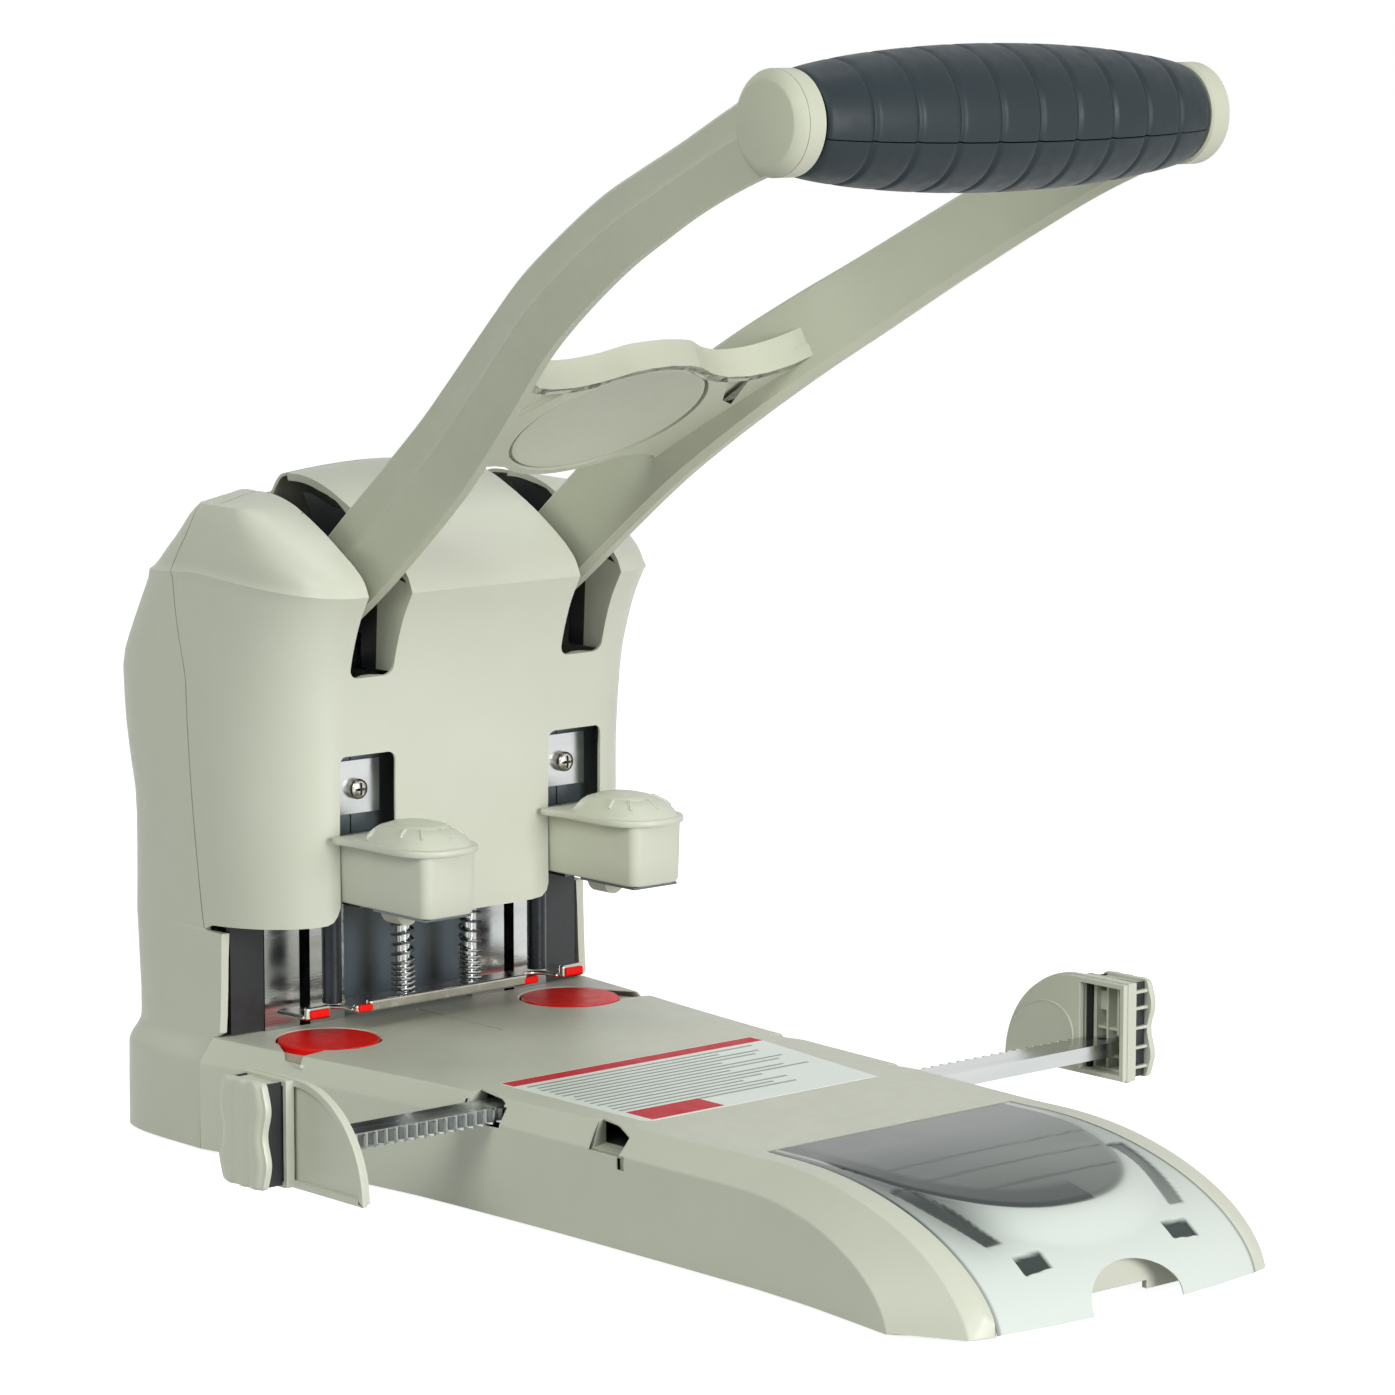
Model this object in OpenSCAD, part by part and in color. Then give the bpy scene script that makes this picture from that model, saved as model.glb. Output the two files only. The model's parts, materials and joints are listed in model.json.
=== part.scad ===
// Heavy-duty two-hole punch with a long hand lever, as an assembly of separate pieces.
// Millimetres. X to the right as the user faces it, Y away from the user, Z up, desk at z = 0.

/* [Punching] */
// Distance between the centres of the two holes
hole_spacing = 80; // [76:1:84]
// Diameter of each hollow punch pin
pin_d = 6; // [5:0.5:6.5]
// Height of a pin's cutting edge above the work surface, lever as in the photo
pin_lift = 9; // [8.9:0.1:9.4]
// Diameter of the turning cutting disc under each pin
disc_d = 31; // [29:0.5:32]

/* [Base] */
// Height of the work surface above the desk
base_h = 34.2; // [33.6:0.2:36]
// Wall thickness of the base moulding
base_wall = 2; // [1.8:0.1:2.2]
// Height of the rubber feet
foot_h = 1.8; // [1.5:0.1:2.5]

/* [Tower] */
// Half width of the tower at its waist
tower_half = 71.5; // [70:0.5:74]
// Wall thickness of the two tower shells
shell_wall = 2.6; // [2:0.1:2.8]
// Height of the top edge of the two knob windows
window_top = 121; // [119:0.5:124]

/* [Lever] */
// Diameter of the shaft that the lever turns on
shaft_d = 12; // [10:0.5:13]
// Thickness of a lever arm where it leaves the tower
arm_t = 7.2; // [6:0.2:8]
// Largest diameter of the barrel grip
grip_d = 39.2; // [36:0.4:42]
// Half length of the barrel grip
grip_half = 70.5; // [68:0.5:70.5]
// Diameter of the steel tube in the grip
tube_d = 16; // [14:0.5:18]

/* [Paper guides] */
// Half distance between the two guides' stop faces, as in the photo
guide_half = 131; // [125:1:136]
// Number of teeth of the pinion that joins the two racks
pinion_teeth = 36; // [34:2:38]

/* [Hidden] */
$fn = 48;

beige = "#b9c0a6";
slate = "#3a434b";
steel = "#c9ccce";
dark_steel = "#7d868c";
black = "#22252a";
red = "#d9251c";
smoke = "#8c9894";
// Punching line and pieces that follow it
hx = hole_spacing / 2;
face_y = 10;
pin_y = face_y + 18.4;
tip_z = base_h + pin_lift;

// Base
base_back = 44.8;
arch_y = -186;
arch_len = 79.5;
arch_bow = 4;
bay_y = -173;
bay_half = [46.6, 49.4];
plate_t = 2;
plate_top = foot_h + plate_t;
housing_z = 1;
guide_y = -97.25;
channel_in = 35.4;
channel_out = 18;
notch_z = 26.6;

// Tower
seam_gap = 0.15;
slot_low = 144.4;
slot_in = 7.7;
slot_out = 8.5;
window_half = 10.4;

// Lever
pivot = [50, 150];
crank = 20;
crank_rest = 2.5;
grip_at = [-209, 312.2];
collar_r = 13.9;

// Crosshead
head_half = hx + 16;
head_y = [18.5, 41.6];
head_z = [73, 121];
box_half = 9.8;
box_z = [77.5, 96];
spring_x = 13;
spring_y = 28.2;
spring_seat = 80;
rod_d = 4.4;
strip_z = 40;
strip_t = 1.5;
frame_y = 42;

// Rack and pinion: the pitch radius keeps the tooth pitch near 3.5
tooth = 3.534;
pitch_r = pinion_teeth * tooth / (2 * PI);
rack_t = 4.4;
rack_z = base_h - base_wall - 0.4 - rack_t;
rack_w = 13;

// ---- helpers ----

// Closed skin over rings of points, each counter-clockwise seen from the last ring
module loft(rings) {
    n = len(rings[0]);
    last = (len(rings) - 1) * n;
    polyhedron(
        points = [for (r = rings) each r],
        faces = concat(
            [[for (i = [0:n - 1]) i]],
            [[for (i = [n - 1:-1:0]) last + i]],
            [for (k = [0:len(rings) - 2], i = [0:n - 1])
                let (j = (i + 1) % n, a = k * n) [a + i, a + n + i, a + n + j]],
            [for (k = [0:len(rings) - 2], i = [0:n - 1])
                let (j = (i + 1) % n, a = k * n) [a + i, a + n + j, a + j]]));
}

module both() { children(); mirror([1, 0, 0]) children(); }
module left() { mirror([1, 0, 0]) children(); }

// Cylinder along X from x0 to x1 through (y, z)
module rod_x(d, x0, x1, at) {
    translate([x0, at[0], at[1]]) rotate([0, 90, 0]) cylinder(d = d, h = x1 - x0);
}
// Cylinder along Y from y0 to y1 through (x, z)
module rod_y(d, y0, y1, at) {
    translate([at[0], y1, at[1]]) rotate([90, 0, 0]) cylinder(d = d, h = y1 - y0);
}
// Box from its lower to its upper corner
module box(a, b) { translate(a) cube(b - a); }
// Prism along X: an outline in Y and Z
module prism_x(x0, x1, outline) {
    translate([x0, 0, 0]) rotate([90, 0, 90]) linear_extrude(x1 - x0) polygon(outline);
}
// Points of an arc
function arc(c, r, a0, a1, n) =
    [for (i = [0:n]) let (a = a0 + (a1 - a0) * i / n) c + r * [cos(a), sin(a)]];

// ---- base moulding ----

FOOT_W = [[-265, 47], [-262, 56.8], [-257, 61.5], [-250, 65.2], [-242, 66.8], [-226, 64.8],
    [-204, 62.5], [-180, 61.5], [-122, 62], [-49, 64.6], [-24, 67.4], [34, 75.3], [45, 77.6]];
TOP_W = [[-265, 42], [-259, 53], [-215, 54.5], [-180, 53], [-155, 54.3], [-115, 56.7],
    [-60, 60.2], [-18, 64.7], [7, 68], [45, 72.5]];
BASE_Y = [-264.8, -262, -259, -256, -252, -248, -243, -238, -232, -226, -219, -212, -204,
    -195, -186, -176, -155, -115, -60, -18, 7, 34, base_back];

// Height at y of an arch that starts at y0, is h high and reaches the desk after len
function arch(y, y0, len, h) = y > y0 ? h : h * pow(max(0, 1 - pow((y0 - y) / len, 2)), 0.56);
// Cross-section of the base at y, inset by t
function base_ring(y, t) =
    let (yt = y - t,
        zl = max(housing_z + 0.6, arch(yt, arch_y, arch_len, base_h) - t),
        zt = max(housing_z + 0.5, arch(yt, arch_y, 73, base_h) - t),
        zc = max(housing_z + 0.4, arch(yt, arch_y + 10, 62.5, base_h - 6.8) - t),
        w = lookup(y, FOOT_W) - t, wt = min(lookup(y, TOP_W) - t, w - 1),
        wl = min(46, wt - 3), z0 = t > 0 ? -2 : housing_z)
    [[-w, y, z0], [-w, y, zc], [-wt, y, zt], [-wl, y, zl], [wl, y, zl], [wt, y, zt],
        [w, y, zc], [w, y, z0]];
module base_solid(t) {
    ys = t == 0 ? BASE_Y : [for (y = BASE_Y) if (y > -250) y == base_back ? y + 5 : y];
    loft([for (y = ys) base_ring(y, t)]);
}
// Plan of the tray bay, grown by g
function bay_plan(g) = [[bay_half[0] + g, bay_y + g], [-bay_half[0] - g, bay_y + g],
    [-bay_half[1] - g, -280], [bay_half[1] + g, -280]];
// The two cross channels of the racks, running out through the side edges
module channels() {
    for (s = [1, -1])
        translate([0, guide_y, 0])
            box([-90, s > 0 ? channel_out : -channel_in, notch_z],
                [90, s > 0 ? channel_in : -channel_out, rack_z + rack_t + 0.4]);
}
SCREW_AT = [[-56, -225], [56, -225], [-54, -150], [54, -150], [-60, -10], [60, -10]];
// Hollow of the moulding: leaves the walls of the tray bay and the screw bosses standing
module base_hollow() {
    difference() {
        base_solid(base_wall);
        translate([0, 0, plate_top + 0.1]) {
            linear_extrude(60) intersection() {
                polygon(bay_plan(base_wall));
                translate([-60, -262]) square([120, 100]);
            }
            for (p = SCREW_AT) translate([p[0], p[1], 0]) cylinder(d = 7, h = 60);
        }
    }
}
// Space of the tray, with a notched front wall that shows through the lid's finger gap
module bay_space() {
    difference() {
        translate([0, 0, -5]) linear_extrude(60) polygon(bay_plan(0));
        difference() {
            box([-60, -257.6, plate_top + 0.1], [60, -255.6, 11]);
            box([-3, -260, 8.5], [3, -250, 20]);
        }
    }
}
module base_housing() {
    color(beige) difference() {
        base_solid(0);
        base_hollow();
        bay_space();
        channels();
        // wells for the cutting discs and their thumb recesses
        both() translate([hx + 7.2, pin_y - 7.7, base_h - 10]) cylinder(d = disc_d + 0.8, h = 20);
        both() translate([hx + 21, pin_y - 7.7, base_h - 6.4]) rotate([0, 0, -45]) cube([22, 22, 30]);
        // room for the cheeks of the steel frame
        both() box([hx - 15.2, frame_y - 0.2, base_h - 10], [hx + 15.2, 60, base_h + 10]);
        // centre mark for the paper
        box([-0.3, -4, base_h - 0.4], [0.3, 38, base_h + 1]);
        // holes for the pivot pins of the lid
        both() rod_x(2.4, 40, bay_half[0] + base_wall - 0.6, lid_axis);
        for (p = SCREW_AT) translate([p[0], p[1], 0]) cylinder(d = 2.8, h = 18);
    }
}
PLATE = [[-58, -238], [58, -238], [57, -180], [58, -110], [61, -40], [70, 40], [69, 74],
    [60, 84], [-60, 84], [-69, 74], [-70, 40], [-61, -40], [-58, -110], [-57, -180]];
module base_plate() {
    color(dark_steel) translate([0, 0, foot_h]) difference() {
        linear_extrude(plate_t) polygon(PLATE);
        for (p = SCREW_AT) translate([p[0], p[1], -1]) cylinder(d = 3.4, h = 10);
    }
}
module base_screws() {
    color(steel) for (p = SCREW_AT) translate([p[0], p[1], foot_h - 1.2]) {
        cylinder(d = 5.6, h = 1.2);
        cylinder(d = 2.6, h = 14);
    }
}
FEET_AT = [[-42, -216], [42, -216], [-58, 66], [58, 66], [-50, -60], [50, -60]];
module rubber_feet() {
    color(black) {
        for (p = FEET_AT) translate([p[0], p[1], 0]) cylinder(d = 14, h = foot_h);
        // wide pad under the punching line, which takes the load
        box([-36, -6, 0], [36, 24, foot_h]);
    }
}

// ---- tower shells ----

// Levels of the tower: height, half width, front, back, corner fullness
TOWER = [[66, -1, 10, 100, 2], [84, -0.4, 10, 98.6, 2], [100, 0, 10, 98, 2],
    [112, 0.1, 9.9, 100.4, 2], [124, 0, 9.6, 103, 2.1], [134, -0.1, 8.7, 104.2, 2.15],
    [142, -0.2, 7.7, 104.7, 2.2], [150, -0.5, 6.2, 102, 2.3], [160, -0.8, 3.2, 96.3, 2.4],
    [167, -1.1, -0.8, 91.8, 2.5], [170, -1.2, -2.6, 90, 2.5], [174, -1.5, -1.4, 86, 2.5],
    [181, -2.2, 8, 80, 2.5], [187, -3.2, 17, 74.6, 2.5], [192, -4.5, 26, 70, 2.5],
    [195, -6, 32.5, 66, 2.5], [196.5, -10.5, 37, 64, 2.5], [198.5, -23.5, 43, 62, 2.5],
    [200.5, -37.5, 47, 60.5, 2.5], [202, -51.5, 50, 59, 2.5], [203, -67, 53, 56, 2.5]];
// Levels of the tower's foot, below the throat
FOOT = [[1, 6, 10, 96.5, 2], [26.6, 5.6, 10, 96.5, 2], [33.5, 0.5, 10, 96.5, 2],
    [50, -0.5, 10, 98.2, 2], [68, -0.9, 10, 100, 2]];
// Half outline in plan, front centre to back centre
function tower_half_ring(l, t) =
    let (z = l[0] - (l[0] > 163 ? t : 0), w = tower_half + l[1] - t, f = l[2] + t,
        b = l[3] - t, xf = min(50, w * 0.7), m = (f + b) / 2 - 8, xb = min(45, w * 0.6),
        k = 2 / l[4], d = 0.92 * (b - m))
    concat(
        [for (i = [0:7]) let (a = 90 * i / 7)
            [xf + (w - xf) * pow(sin(a), k), m - (m - f) * pow(cos(a), k), z]],
        [for (i = [0:6]) let (a = 90 * i / 6) [xb + (w - xb) * sqrt(cos(a)), b - d + d * sqrt(sin(a)), z]]);
function tower_ring(l, t) = let (h = tower_half_ring(l, t), n = len(h))
    concat(h, [for (i = [n - 1:-1:0]) [-h[i][0], h[i][1], h[i][2]]]);
module tower_solid(t) { loft([for (l = TOWER) tower_ring(l, t)]); }
module foot_solid(t) {
    loft([for (l = FOOT) tower_ring([t > 0 && l[0] == 1 ? -1 : t > 0 && l[0] == 68 ? 69 : l[0],
        l[1], t > 0 ? l[2] - 8 : l[2], l[3], 4], t)]);
}
// Side view of the seam between cover and rear shell, shifted back by g
function seam(g) = [[-20, 60], [49.5 + g, 60], [51.4 + g, 68.3], [57 + g, 129], [57.6 + g, 142],
    [63.1 + g, 158.5], [66.8 + g, 171.7], [60 + g, 190], [57 + g, 210], [-20, 210]];
// Slots that the arms swing in
module arm_slots() {
    both() prism_x(hx - slot_in, hx + slot_out,
        [[-20, slot_low], [20, slot_low], [20, 160], [54, 175], [67, 188], [67, 215], [-20, 215]]);
}
module front_cover() {
    color(beige) difference() {
        intersection() {
            difference() {
                tower_solid(0);
                tower_solid(shell_wall);
                box([-80, -10, 60], [80, 120, 66.1]);
                translate([0, 0, -1]) intersection() {
                    tower_solid(shell_wall);
                    box([-80, -10, 60], [80, 120, 80]);
                }
            }
            prism_x(-80, 80, seam(-seam_gap));
        }
        arm_slots();
        both() box([hx - window_half, -10, 60], [hx + window_half, face_y + 6, window_top]);
    }
}
module rear_shell() {
    color(beige) difference() {
        union() {
            difference() {
                tower_solid(0);
                prism_x(-80, 80, seam(seam_gap));
            }
            difference() {
                foot_solid(0);
                box([-90, 0, -5], [90, 42.2, 80]);
                box([-90, 0, 65.9], [90, 51.6, 80]);
            }
        }
        difference() {
            tower_solid(shell_wall);
            box([-90, -20, 60], [90, 60, 66]);
        }
        translate([0, 0, -1]) intersection() {
            tower_solid(shell_wall);
            box([-80, -10, 60], [80, 120, 80]);
        }
        foot_solid(shell_wall);
        arm_slots();
        // rim that the base moulding ends against
        box([-90, 30, -5], [90, base_back + 0.2, base_h + 0.3]);
    }
}

// ---- steel frame ----

// One C-frame: two cheeks with a key slot between them, and an ear for the lever shaft
module frame_side() {
    color(steel) difference() {
        union() {
            box([hx - 15, frame_y, plate_top], [hx - 2, 76, 114]);
            box([hx + 2, frame_y, plate_top], [hx + 15, 76, 114]);
            box([hx - 15, 62, plate_top], [hx + 15, 76, 114]);
            box([hx - 15, 4, plate_top], [hx + 15, frame_y + 1, base_h - 14.2]);
            prism_x(hx + 9.5, hx + 15, concat([[76, 110], [76, 150]],
                arc([pivot[0], pivot[1]], 14, 10, 170, 16), [[frame_y, 150], [frame_y, 110]]));
        }
        rod_x(shaft_d + 0.04, hx, hx + 20, pivot);
        rod_x(6.5, hx - 20, hx + 20, [70, 24]);
    }
}
module frame_right() { frame_side(); }
module frame_left() { left() frame_side(); }
module frame_tie() {
    color(dark_steel) {
        box([-hx - 15, 76.1, 30], [hx + 15, 80, 108]);
        rod_x(6.4, -hx - 17, hx + 17, [70, 24]);
    }
}
module centre_panel() {
    color(slate) difference() {
        box([-hx + 15.1, 45, 30], [hx - 15.1, 47.5, 110]);
        for (z = [60, 85]) rod_y(3, 40, 50, [0, z]);
    }
}
module throat_panels() {
    color(black) both() box([hx + 15.1, 42.5, base_h + 0.5], [tower_half - 4.2, 44.5, 70]);
}
module die_bed() {
    color(dark_steel) difference() {
        box([-63, 4, base_h - 14.2], [63, 41.5, base_h - 6.4]);
        both() translate([hx + 7.2, pin_y - 7.7, 0]) cylinder(d = 6, h = 60);
    }
}
module cutting_disc() {
    translate([hx + 7.2, pin_y - 7.7, base_h - 6]) difference() {
        cylinder(d = disc_d, h = 6, $fn = 96);
        translate([0, 0, -1]) cylinder(d = 5.1, h = 4.5);
        for (i = [0:11]) rotate([0, 0, 30 * i])
            translate([disc_d / 2 + 1.2, 0, -1]) cylinder(d = 4, h = 8, $fn = 16);
    }
}
module disc_right() { color(red) cutting_disc(); }
module disc_left() { color(red) left() cutting_disc(); }
module disc_pivots() {
    color(steel) both() translate([hx + 7.2, pin_y - 7.7, 0]) {
        translate([0, 0, base_h - 13]) cylinder(d = 5.98, h = 6.6);
        translate([0, 0, base_h - 6.4]) cylinder(d = 5, h = 3.4);
    }
}

// ---- lever ----

// Stations of an arm: y, z, centre in x, thickness, depth
ARM = [[50, 150, 0, 0, 26], [30, 165, 0, 0, 25], [10.7, 180, 0, 0, 27],
    [-9, 195.5, 0.6, -0.2, 27.5], [-29.2, 211, 2.4, -0.4, 27.3], [-45.5, 223, 6, -0.5, 26.8],
    [-61.9, 234.5, 10.7, -0.6, 26], [-80, 246.5, 16.8, -0.9, 24.7],
    [-98.2, 257.8, 23, -1, 23.4], [-119, 270, 27.6, -1.4, 22.3], [-140, 281.5, 31, -1.7, 21.5],
    [-156, 289.2, 32.3, -2, 20.5], [-172.5, 296.8, 33.3, -2.2, 19.6],
    [-190, 304.5, 34.2, -1.8, 20], [-209, 312.2, 34.8, -1.4, 21]];
// Direction of the arm's centre line at station i
function arm_dir(i) = let (a = ARM[max(0, i - 1)], b = ARM[min(len(ARM) - 1, i + 1)],
    d = [b[0] - a[0], b[1] - a[1]]) d / norm(d);
function arm_ring(i) = let (s = ARM[i], d = arm_dir(i), n = [d[1], -d[0]],
        x = hx + s[2] * (grip_half + 3.9 - hx) / 34.8,
    h = (arm_t + s[3]) / 2, w = s[4] / 2, c = 1)
    [for (p = [[h, c - w], [h, w - c], [h - c, w], [c - h, w], [-h, w - c], [-h, c - w],
        [c - h, -w], [h - c, -w]]) [x + p[0], s[0] + p[1] * n[0], s[1] + p[1] * n[1]]];
module arm() { loft([for (i = [0:len(ARM) - 1]) arm_ring(i)]); }
// Web between the arms, in its own plane: x across, v forward up the slope
web_at = [-53.8, 222];
web_slope = 31.6;
medal_r = 30.5;
module web_frame() {
    translate([0, web_at[0], web_at[1]]) rotate([-web_slope, 0, 0]) mirror([0, 1, 0]) children();
}
WEB = concat(arc([0, 0], 33.6, -52, -128, 14), [[-30, -25], [-37, -27], [-41.5, -34],
    [-43, -27], [-47, -4], [-52, 14], [-59, 40], [-56, 39], [-52, 32], [-47.5, 27], [-43, 24.6],
    [-37, 23.2], [-30, 23.8]], arc([0, 0], 33.6, 133, 47, 16), [[30, 23.8], [37, 23.2],
    [43, 24.6], [47.5, 27], [52, 32], [56, 39], [59, 40], [52, 14], [47, -4], [43, -27],
    [41.5, -34], [37, -27], [30, -25]]);
WALL = concat([[-56, 39], [-52, 32], [-47.5, 27], [-43, 24.6], [-37, 23.2], [-30, 23.8]],
    arc([0, 0], 33.6, 133, 47, 16), [[30, 23.8], [37, 23.2], [43, 24.6], [47.5, 27], [52, 32],
    [56, 39], [58, 36], [53, 28], [48, 23.5], [43, 21.6], [37, 20.4], [29, 20.8]],
    arc([0, 0], 30.9, 44, 136, 16), [[-29, 20.8], [-37, 20.4], [-43, 21.6], [-48, 23.5],
    [-53, 28], [-58, 36]]);
module lever_frame() {
    color(beige) difference() {
        union() {
            both() {
                arm();
                rod_x(27, hx - arm_t / 2 - 1.5, hx + arm_t / 2 + 1.5, pivot);
                rod_x(18, hx - arm_t / 2, hx + arm_t / 2, bar_at);
                rod_x(2 * collar_r, grip_half + 0.8, grip_half + 6.9, grip_at);
            }
            web_frame() {
                linear_extrude(4) polygon(WEB);
                linear_extrude(9) polygon(WALL);
            }
        }
        both() {
            rod_x(shaft_d + 3, hx - 20, hx + 20, pivot);
            rod_x(10.02, hx - 20, hx + 20, bar_at);
            rod_x(tube_d + 0.04, grip_half - 2, grip_half + 5, grip_at);
            rod_x(tube_d - 2.9, grip_half, grip_half + 8, grip_at);
        }
        web_frame() translate([0, 0, -2]) cylinder(r = medal_r + 0.15, h = 3.5, $fn = 96);
    }
}
module medallion() {
    color(beige) web_frame() translate([0, 0, 0.1]) cylinder(r = medal_r, h = 1.4, $fn = 96);
}
module handle_tube() {
    color(steel) difference() {
        rod_x(tube_d, -grip_half - 5, grip_half + 5, grip_at);
        rod_x(tube_d - 3, -grip_half - 6, grip_half + 6, grip_at);
    }
}
// Barrel outline: radius at x along the grip, with ring grooves
groove_step = 14.1;
function barrel_r(x) = let (u = x / grip_half, g = abs(x / groove_step - round(x / groove_step)),
    deep = abs(x) < 60 ? max(0, 0.8 - 16 * g) : 0)
    13.5 + (grip_d / 2 - 13.5) * pow(1 - u * u, 0.8) - deep;
BARREL_X = concat([-grip_half], [for (k = [-4:4], d = [-3.5, -0.7, 0, 0.7, 3.5]) groove_step * k + d],
    [grip_half]);
module barrel() {
    translate([0, grip_at[0], grip_at[1]]) rotate([0, 90, 0]) rotate_extrude($fn = 72)
        polygon(concat([for (x = BARREL_X) [barrel_r(x), x]],
            [[tube_d / 2 + 0.05, grip_half], [tube_d / 2 + 0.05, -grip_half]]));
}
// Half space above (s = 1) or below (s = -1) the grip's parting plane
module grip_side(s) {
    translate([0, grip_at[0], grip_at[1]]) rotate([-17.5, 0, 0])
        box([-90, -40, s > 0 ? 0.05 : -40], [90, 40, s > 0 ? 40 : -0.05]);
}
module grip_upper() { color(slate) intersection() { barrel(); grip_side(1); } }
module grip_lower() { color(slate) intersection() { barrel(); grip_side(-1); } }
module end_cap() {
    translate([grip_half + 7, grip_at[0], grip_at[1]]) rotate([0, 90, 0]) {
        rotate_extrude() polygon([[0, 0], [collar_r, 0], [10.9, 3], [0, 3]]);
        translate([0, 0, -1.9]) cylinder(d = tube_d - 3.1, h = 2);
    }
}
module end_cap_right() { color(beige) end_cap(); }
module end_cap_left() { color(beige) left() end_cap(); }
module lever_shaft() {
    color(steel) difference() {
        rod_x(shaft_d, -hx - 18, hx + 18, pivot);
        both() difference() {
            rod_x(shaft_d + 2, hx + 15.3, hx + 16.5, pivot);
            rod_x(shaft_d - 2, hx + 15, hx + 17, pivot);
        }
    }
}
module shaft_bushes() {
    color("#b08d57") both() difference() {
        rod_x(shaft_d + 2.98, hx - arm_t / 2 - 1.5, hx + arm_t / 2 + 1.5, pivot);
        rod_x(shaft_d + 0.06, hx - 20, hx + 20, pivot);
    }
}
module shaft_clips() {
    color(dark_steel) both() difference() {
        rod_x(shaft_d + 5, hx + 15.4, hx + 16.4, pivot);
        rod_x(shaft_d - 1.9, hx + 15, hx + 17, pivot);
        box([hx + 15, pivot[0] - 4, pivot[1] - 12], [hx + 17, pivot[0] + 4, pivot[1]]);
    }
}
// Cross bar through both arms that drives the crosshead
bar_at = pivot + crank * [-cos(crank_rest), -sin(crank_rest)];
module drive_bar() { color(steel) rod_x(10, -hx - 6, hx + 6, bar_at); }

// ---- crosshead ----

yoke_x = [hx - 16, hx - 11];
module crosshead() {
    color(dark_steel) difference() {
        union() {
            box([-head_half, head_y[0], head_z[0]], [head_half, head_y[1], head_z[1]]);
            both() box([yoke_x[0], 18.5, head_z[1] - 1], [yoke_x[1], 41.4, bar_at[1] + 13]);
            // bosses over the springs
            both() translate([spring_x, spring_y, head_z[0] - 3.5]) cylinder(d = 12, h = 5);
        }
        both() {
            // bay of the punch unit, open to the front, with a slot for the pin
            box([hx - box_half - 0.2, 0, box_z[0] - 0.2], [hx + box_half + 0.2, 36.4, box_z[1] + 0.3]);
            box([hx - pin_d / 2 - 0.4, 0, 60], [hx + pin_d / 2 + 0.4, pin_y, box_z[0]]);
            translate([hx, pin_y, 60]) cylinder(d = pin_d + 0.8, h = 20);
            // yoke slot for the drive bar
            box([yoke_x[0] - 1, bar_at[0] - 5.6, bar_at[1] - 5.4], [yoke_x[1] + 1, 38.2, bar_at[1] + 5.4]);
            // spring seat and rod bore
            translate([spring_x, spring_y, 60]) cylinder(d = 8.8, h = spring_seat - 60);
            translate([spring_x, spring_y, 60]) cylinder(d = rod_d + 0.16, h = 80);
            rod_y(4, 10, 30, [hx, 110]);
            // joint line of the front strips
            box([hx - 0.3, 10, head_z[0] - 1], [hx + 0.3, head_y[0] + 0.5, head_z[1] + 1]);
            box([hx - 1.5, 36.9, 100], [hx + 1.5, 50, 118]);
        }
        // lightening pockets
        both() box([4 - 3.9, 12, 84], [4 + 3, 36, 116]);
        both() box([hx + 12.5, 22, 102], [head_half - 2, 36, 130]);
    }
}
module crosshead_keys() {
    color(steel) both() box([hx - 1.45, 37, 100.1], [hx + 1.45, 50, 117.9]);
}
module holder() {
    difference() {
        box([hx - 9, 16, 102.5], [hx + 9, 18.4, 118.5]);
        rod_y(4.4, 10, 30, [hx, 110]);
    }
}
module holder_right() { color(steel) holder(); }
module holder_left() { color(steel) left() holder(); }
module clamp_screws() {
    color(steel) both() difference() {
        union() {
            rod_y(6.2, 13.1, 15.9, [hx, 110]);
            rod_y(3.96, 15.8, 29, [hx, 110]);
        }
        for (a = [0, 90]) translate([hx, 13, 110]) rotate([0, a, 0])
            box([-1.9, -1, -0.4], [1.9, 1.3, 0.4]);
    }
}
// Punch unit: hollow body that carries the pin and catches the chips, with a pull cap
box_y = [-29.7, 36];
module knob_body() {
    difference() {
        union() {
            box([hx - box_half, box_y[0], 80], [hx + box_half, box_y[1], box_z[1]]);
            box([hx - box_half + 0.8, face_y - 7, box_z[0]], [hx + box_half - 0.8, box_y[1], 82]);
            translate([hx, -1, 72]) rotate([90, 0, 0]) linear_extrude(8) polygon(
                concat(arc([0, 4], 4, 180, 360, 10), [[4, 9], [-4, 9]]));
        }
        box([hx - box_half + 1.6, box_y[0] + 1.6, 81.6], [hx + box_half - 1.6, 20, box_z[1] - 1.5]);
        translate([hx, pin_y, 60]) cylinder(d = pin_d + 0.04, h = 30.5);
        translate([hx, pin_y, 60]) cylinder(d = pin_d - 1.4, h = 34);
        box([hx - 2.2, 19, 90.5], [hx + 2.2, pin_y, 94]);
    }
}
module knob_body_right() { color(beige) knob_body(); }
module knob_body_left() { color(beige) left() knob_body(); }
module knob_cap() {
    translate([hx, 0, box_z[1] + 0.05]) {
        // D-shaped flange
        linear_extrude(2.2) polygon(concat([[14, 8.6], [-14, 8.6]],
            arc([0, -17], 14, 180, 360, 24)));
        translate([0, 0, 2.2]) linear_extrude(3.2) polygon(concat([[12, 5], [-12, 5]],
            arc([0, -17], 12, 180, 360, 24)));
        // raised pad and front ribs
        translate([0, -9, 5.3]) linear_extrude(1.3) polygon(arc([0, 0], 8.6, 0, 345, 23));
        for (a = [-36:12:36]) translate([0, -17, 5.2]) rotate([0, 0, a])
            box([-0.5, -11, 0], [0.5, -7, 0.9]);
    }
}
module knob_cap_right() { color(beige) knob_cap(); }
module knob_cap_left() { color(beige) left() knob_cap(); }
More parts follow.
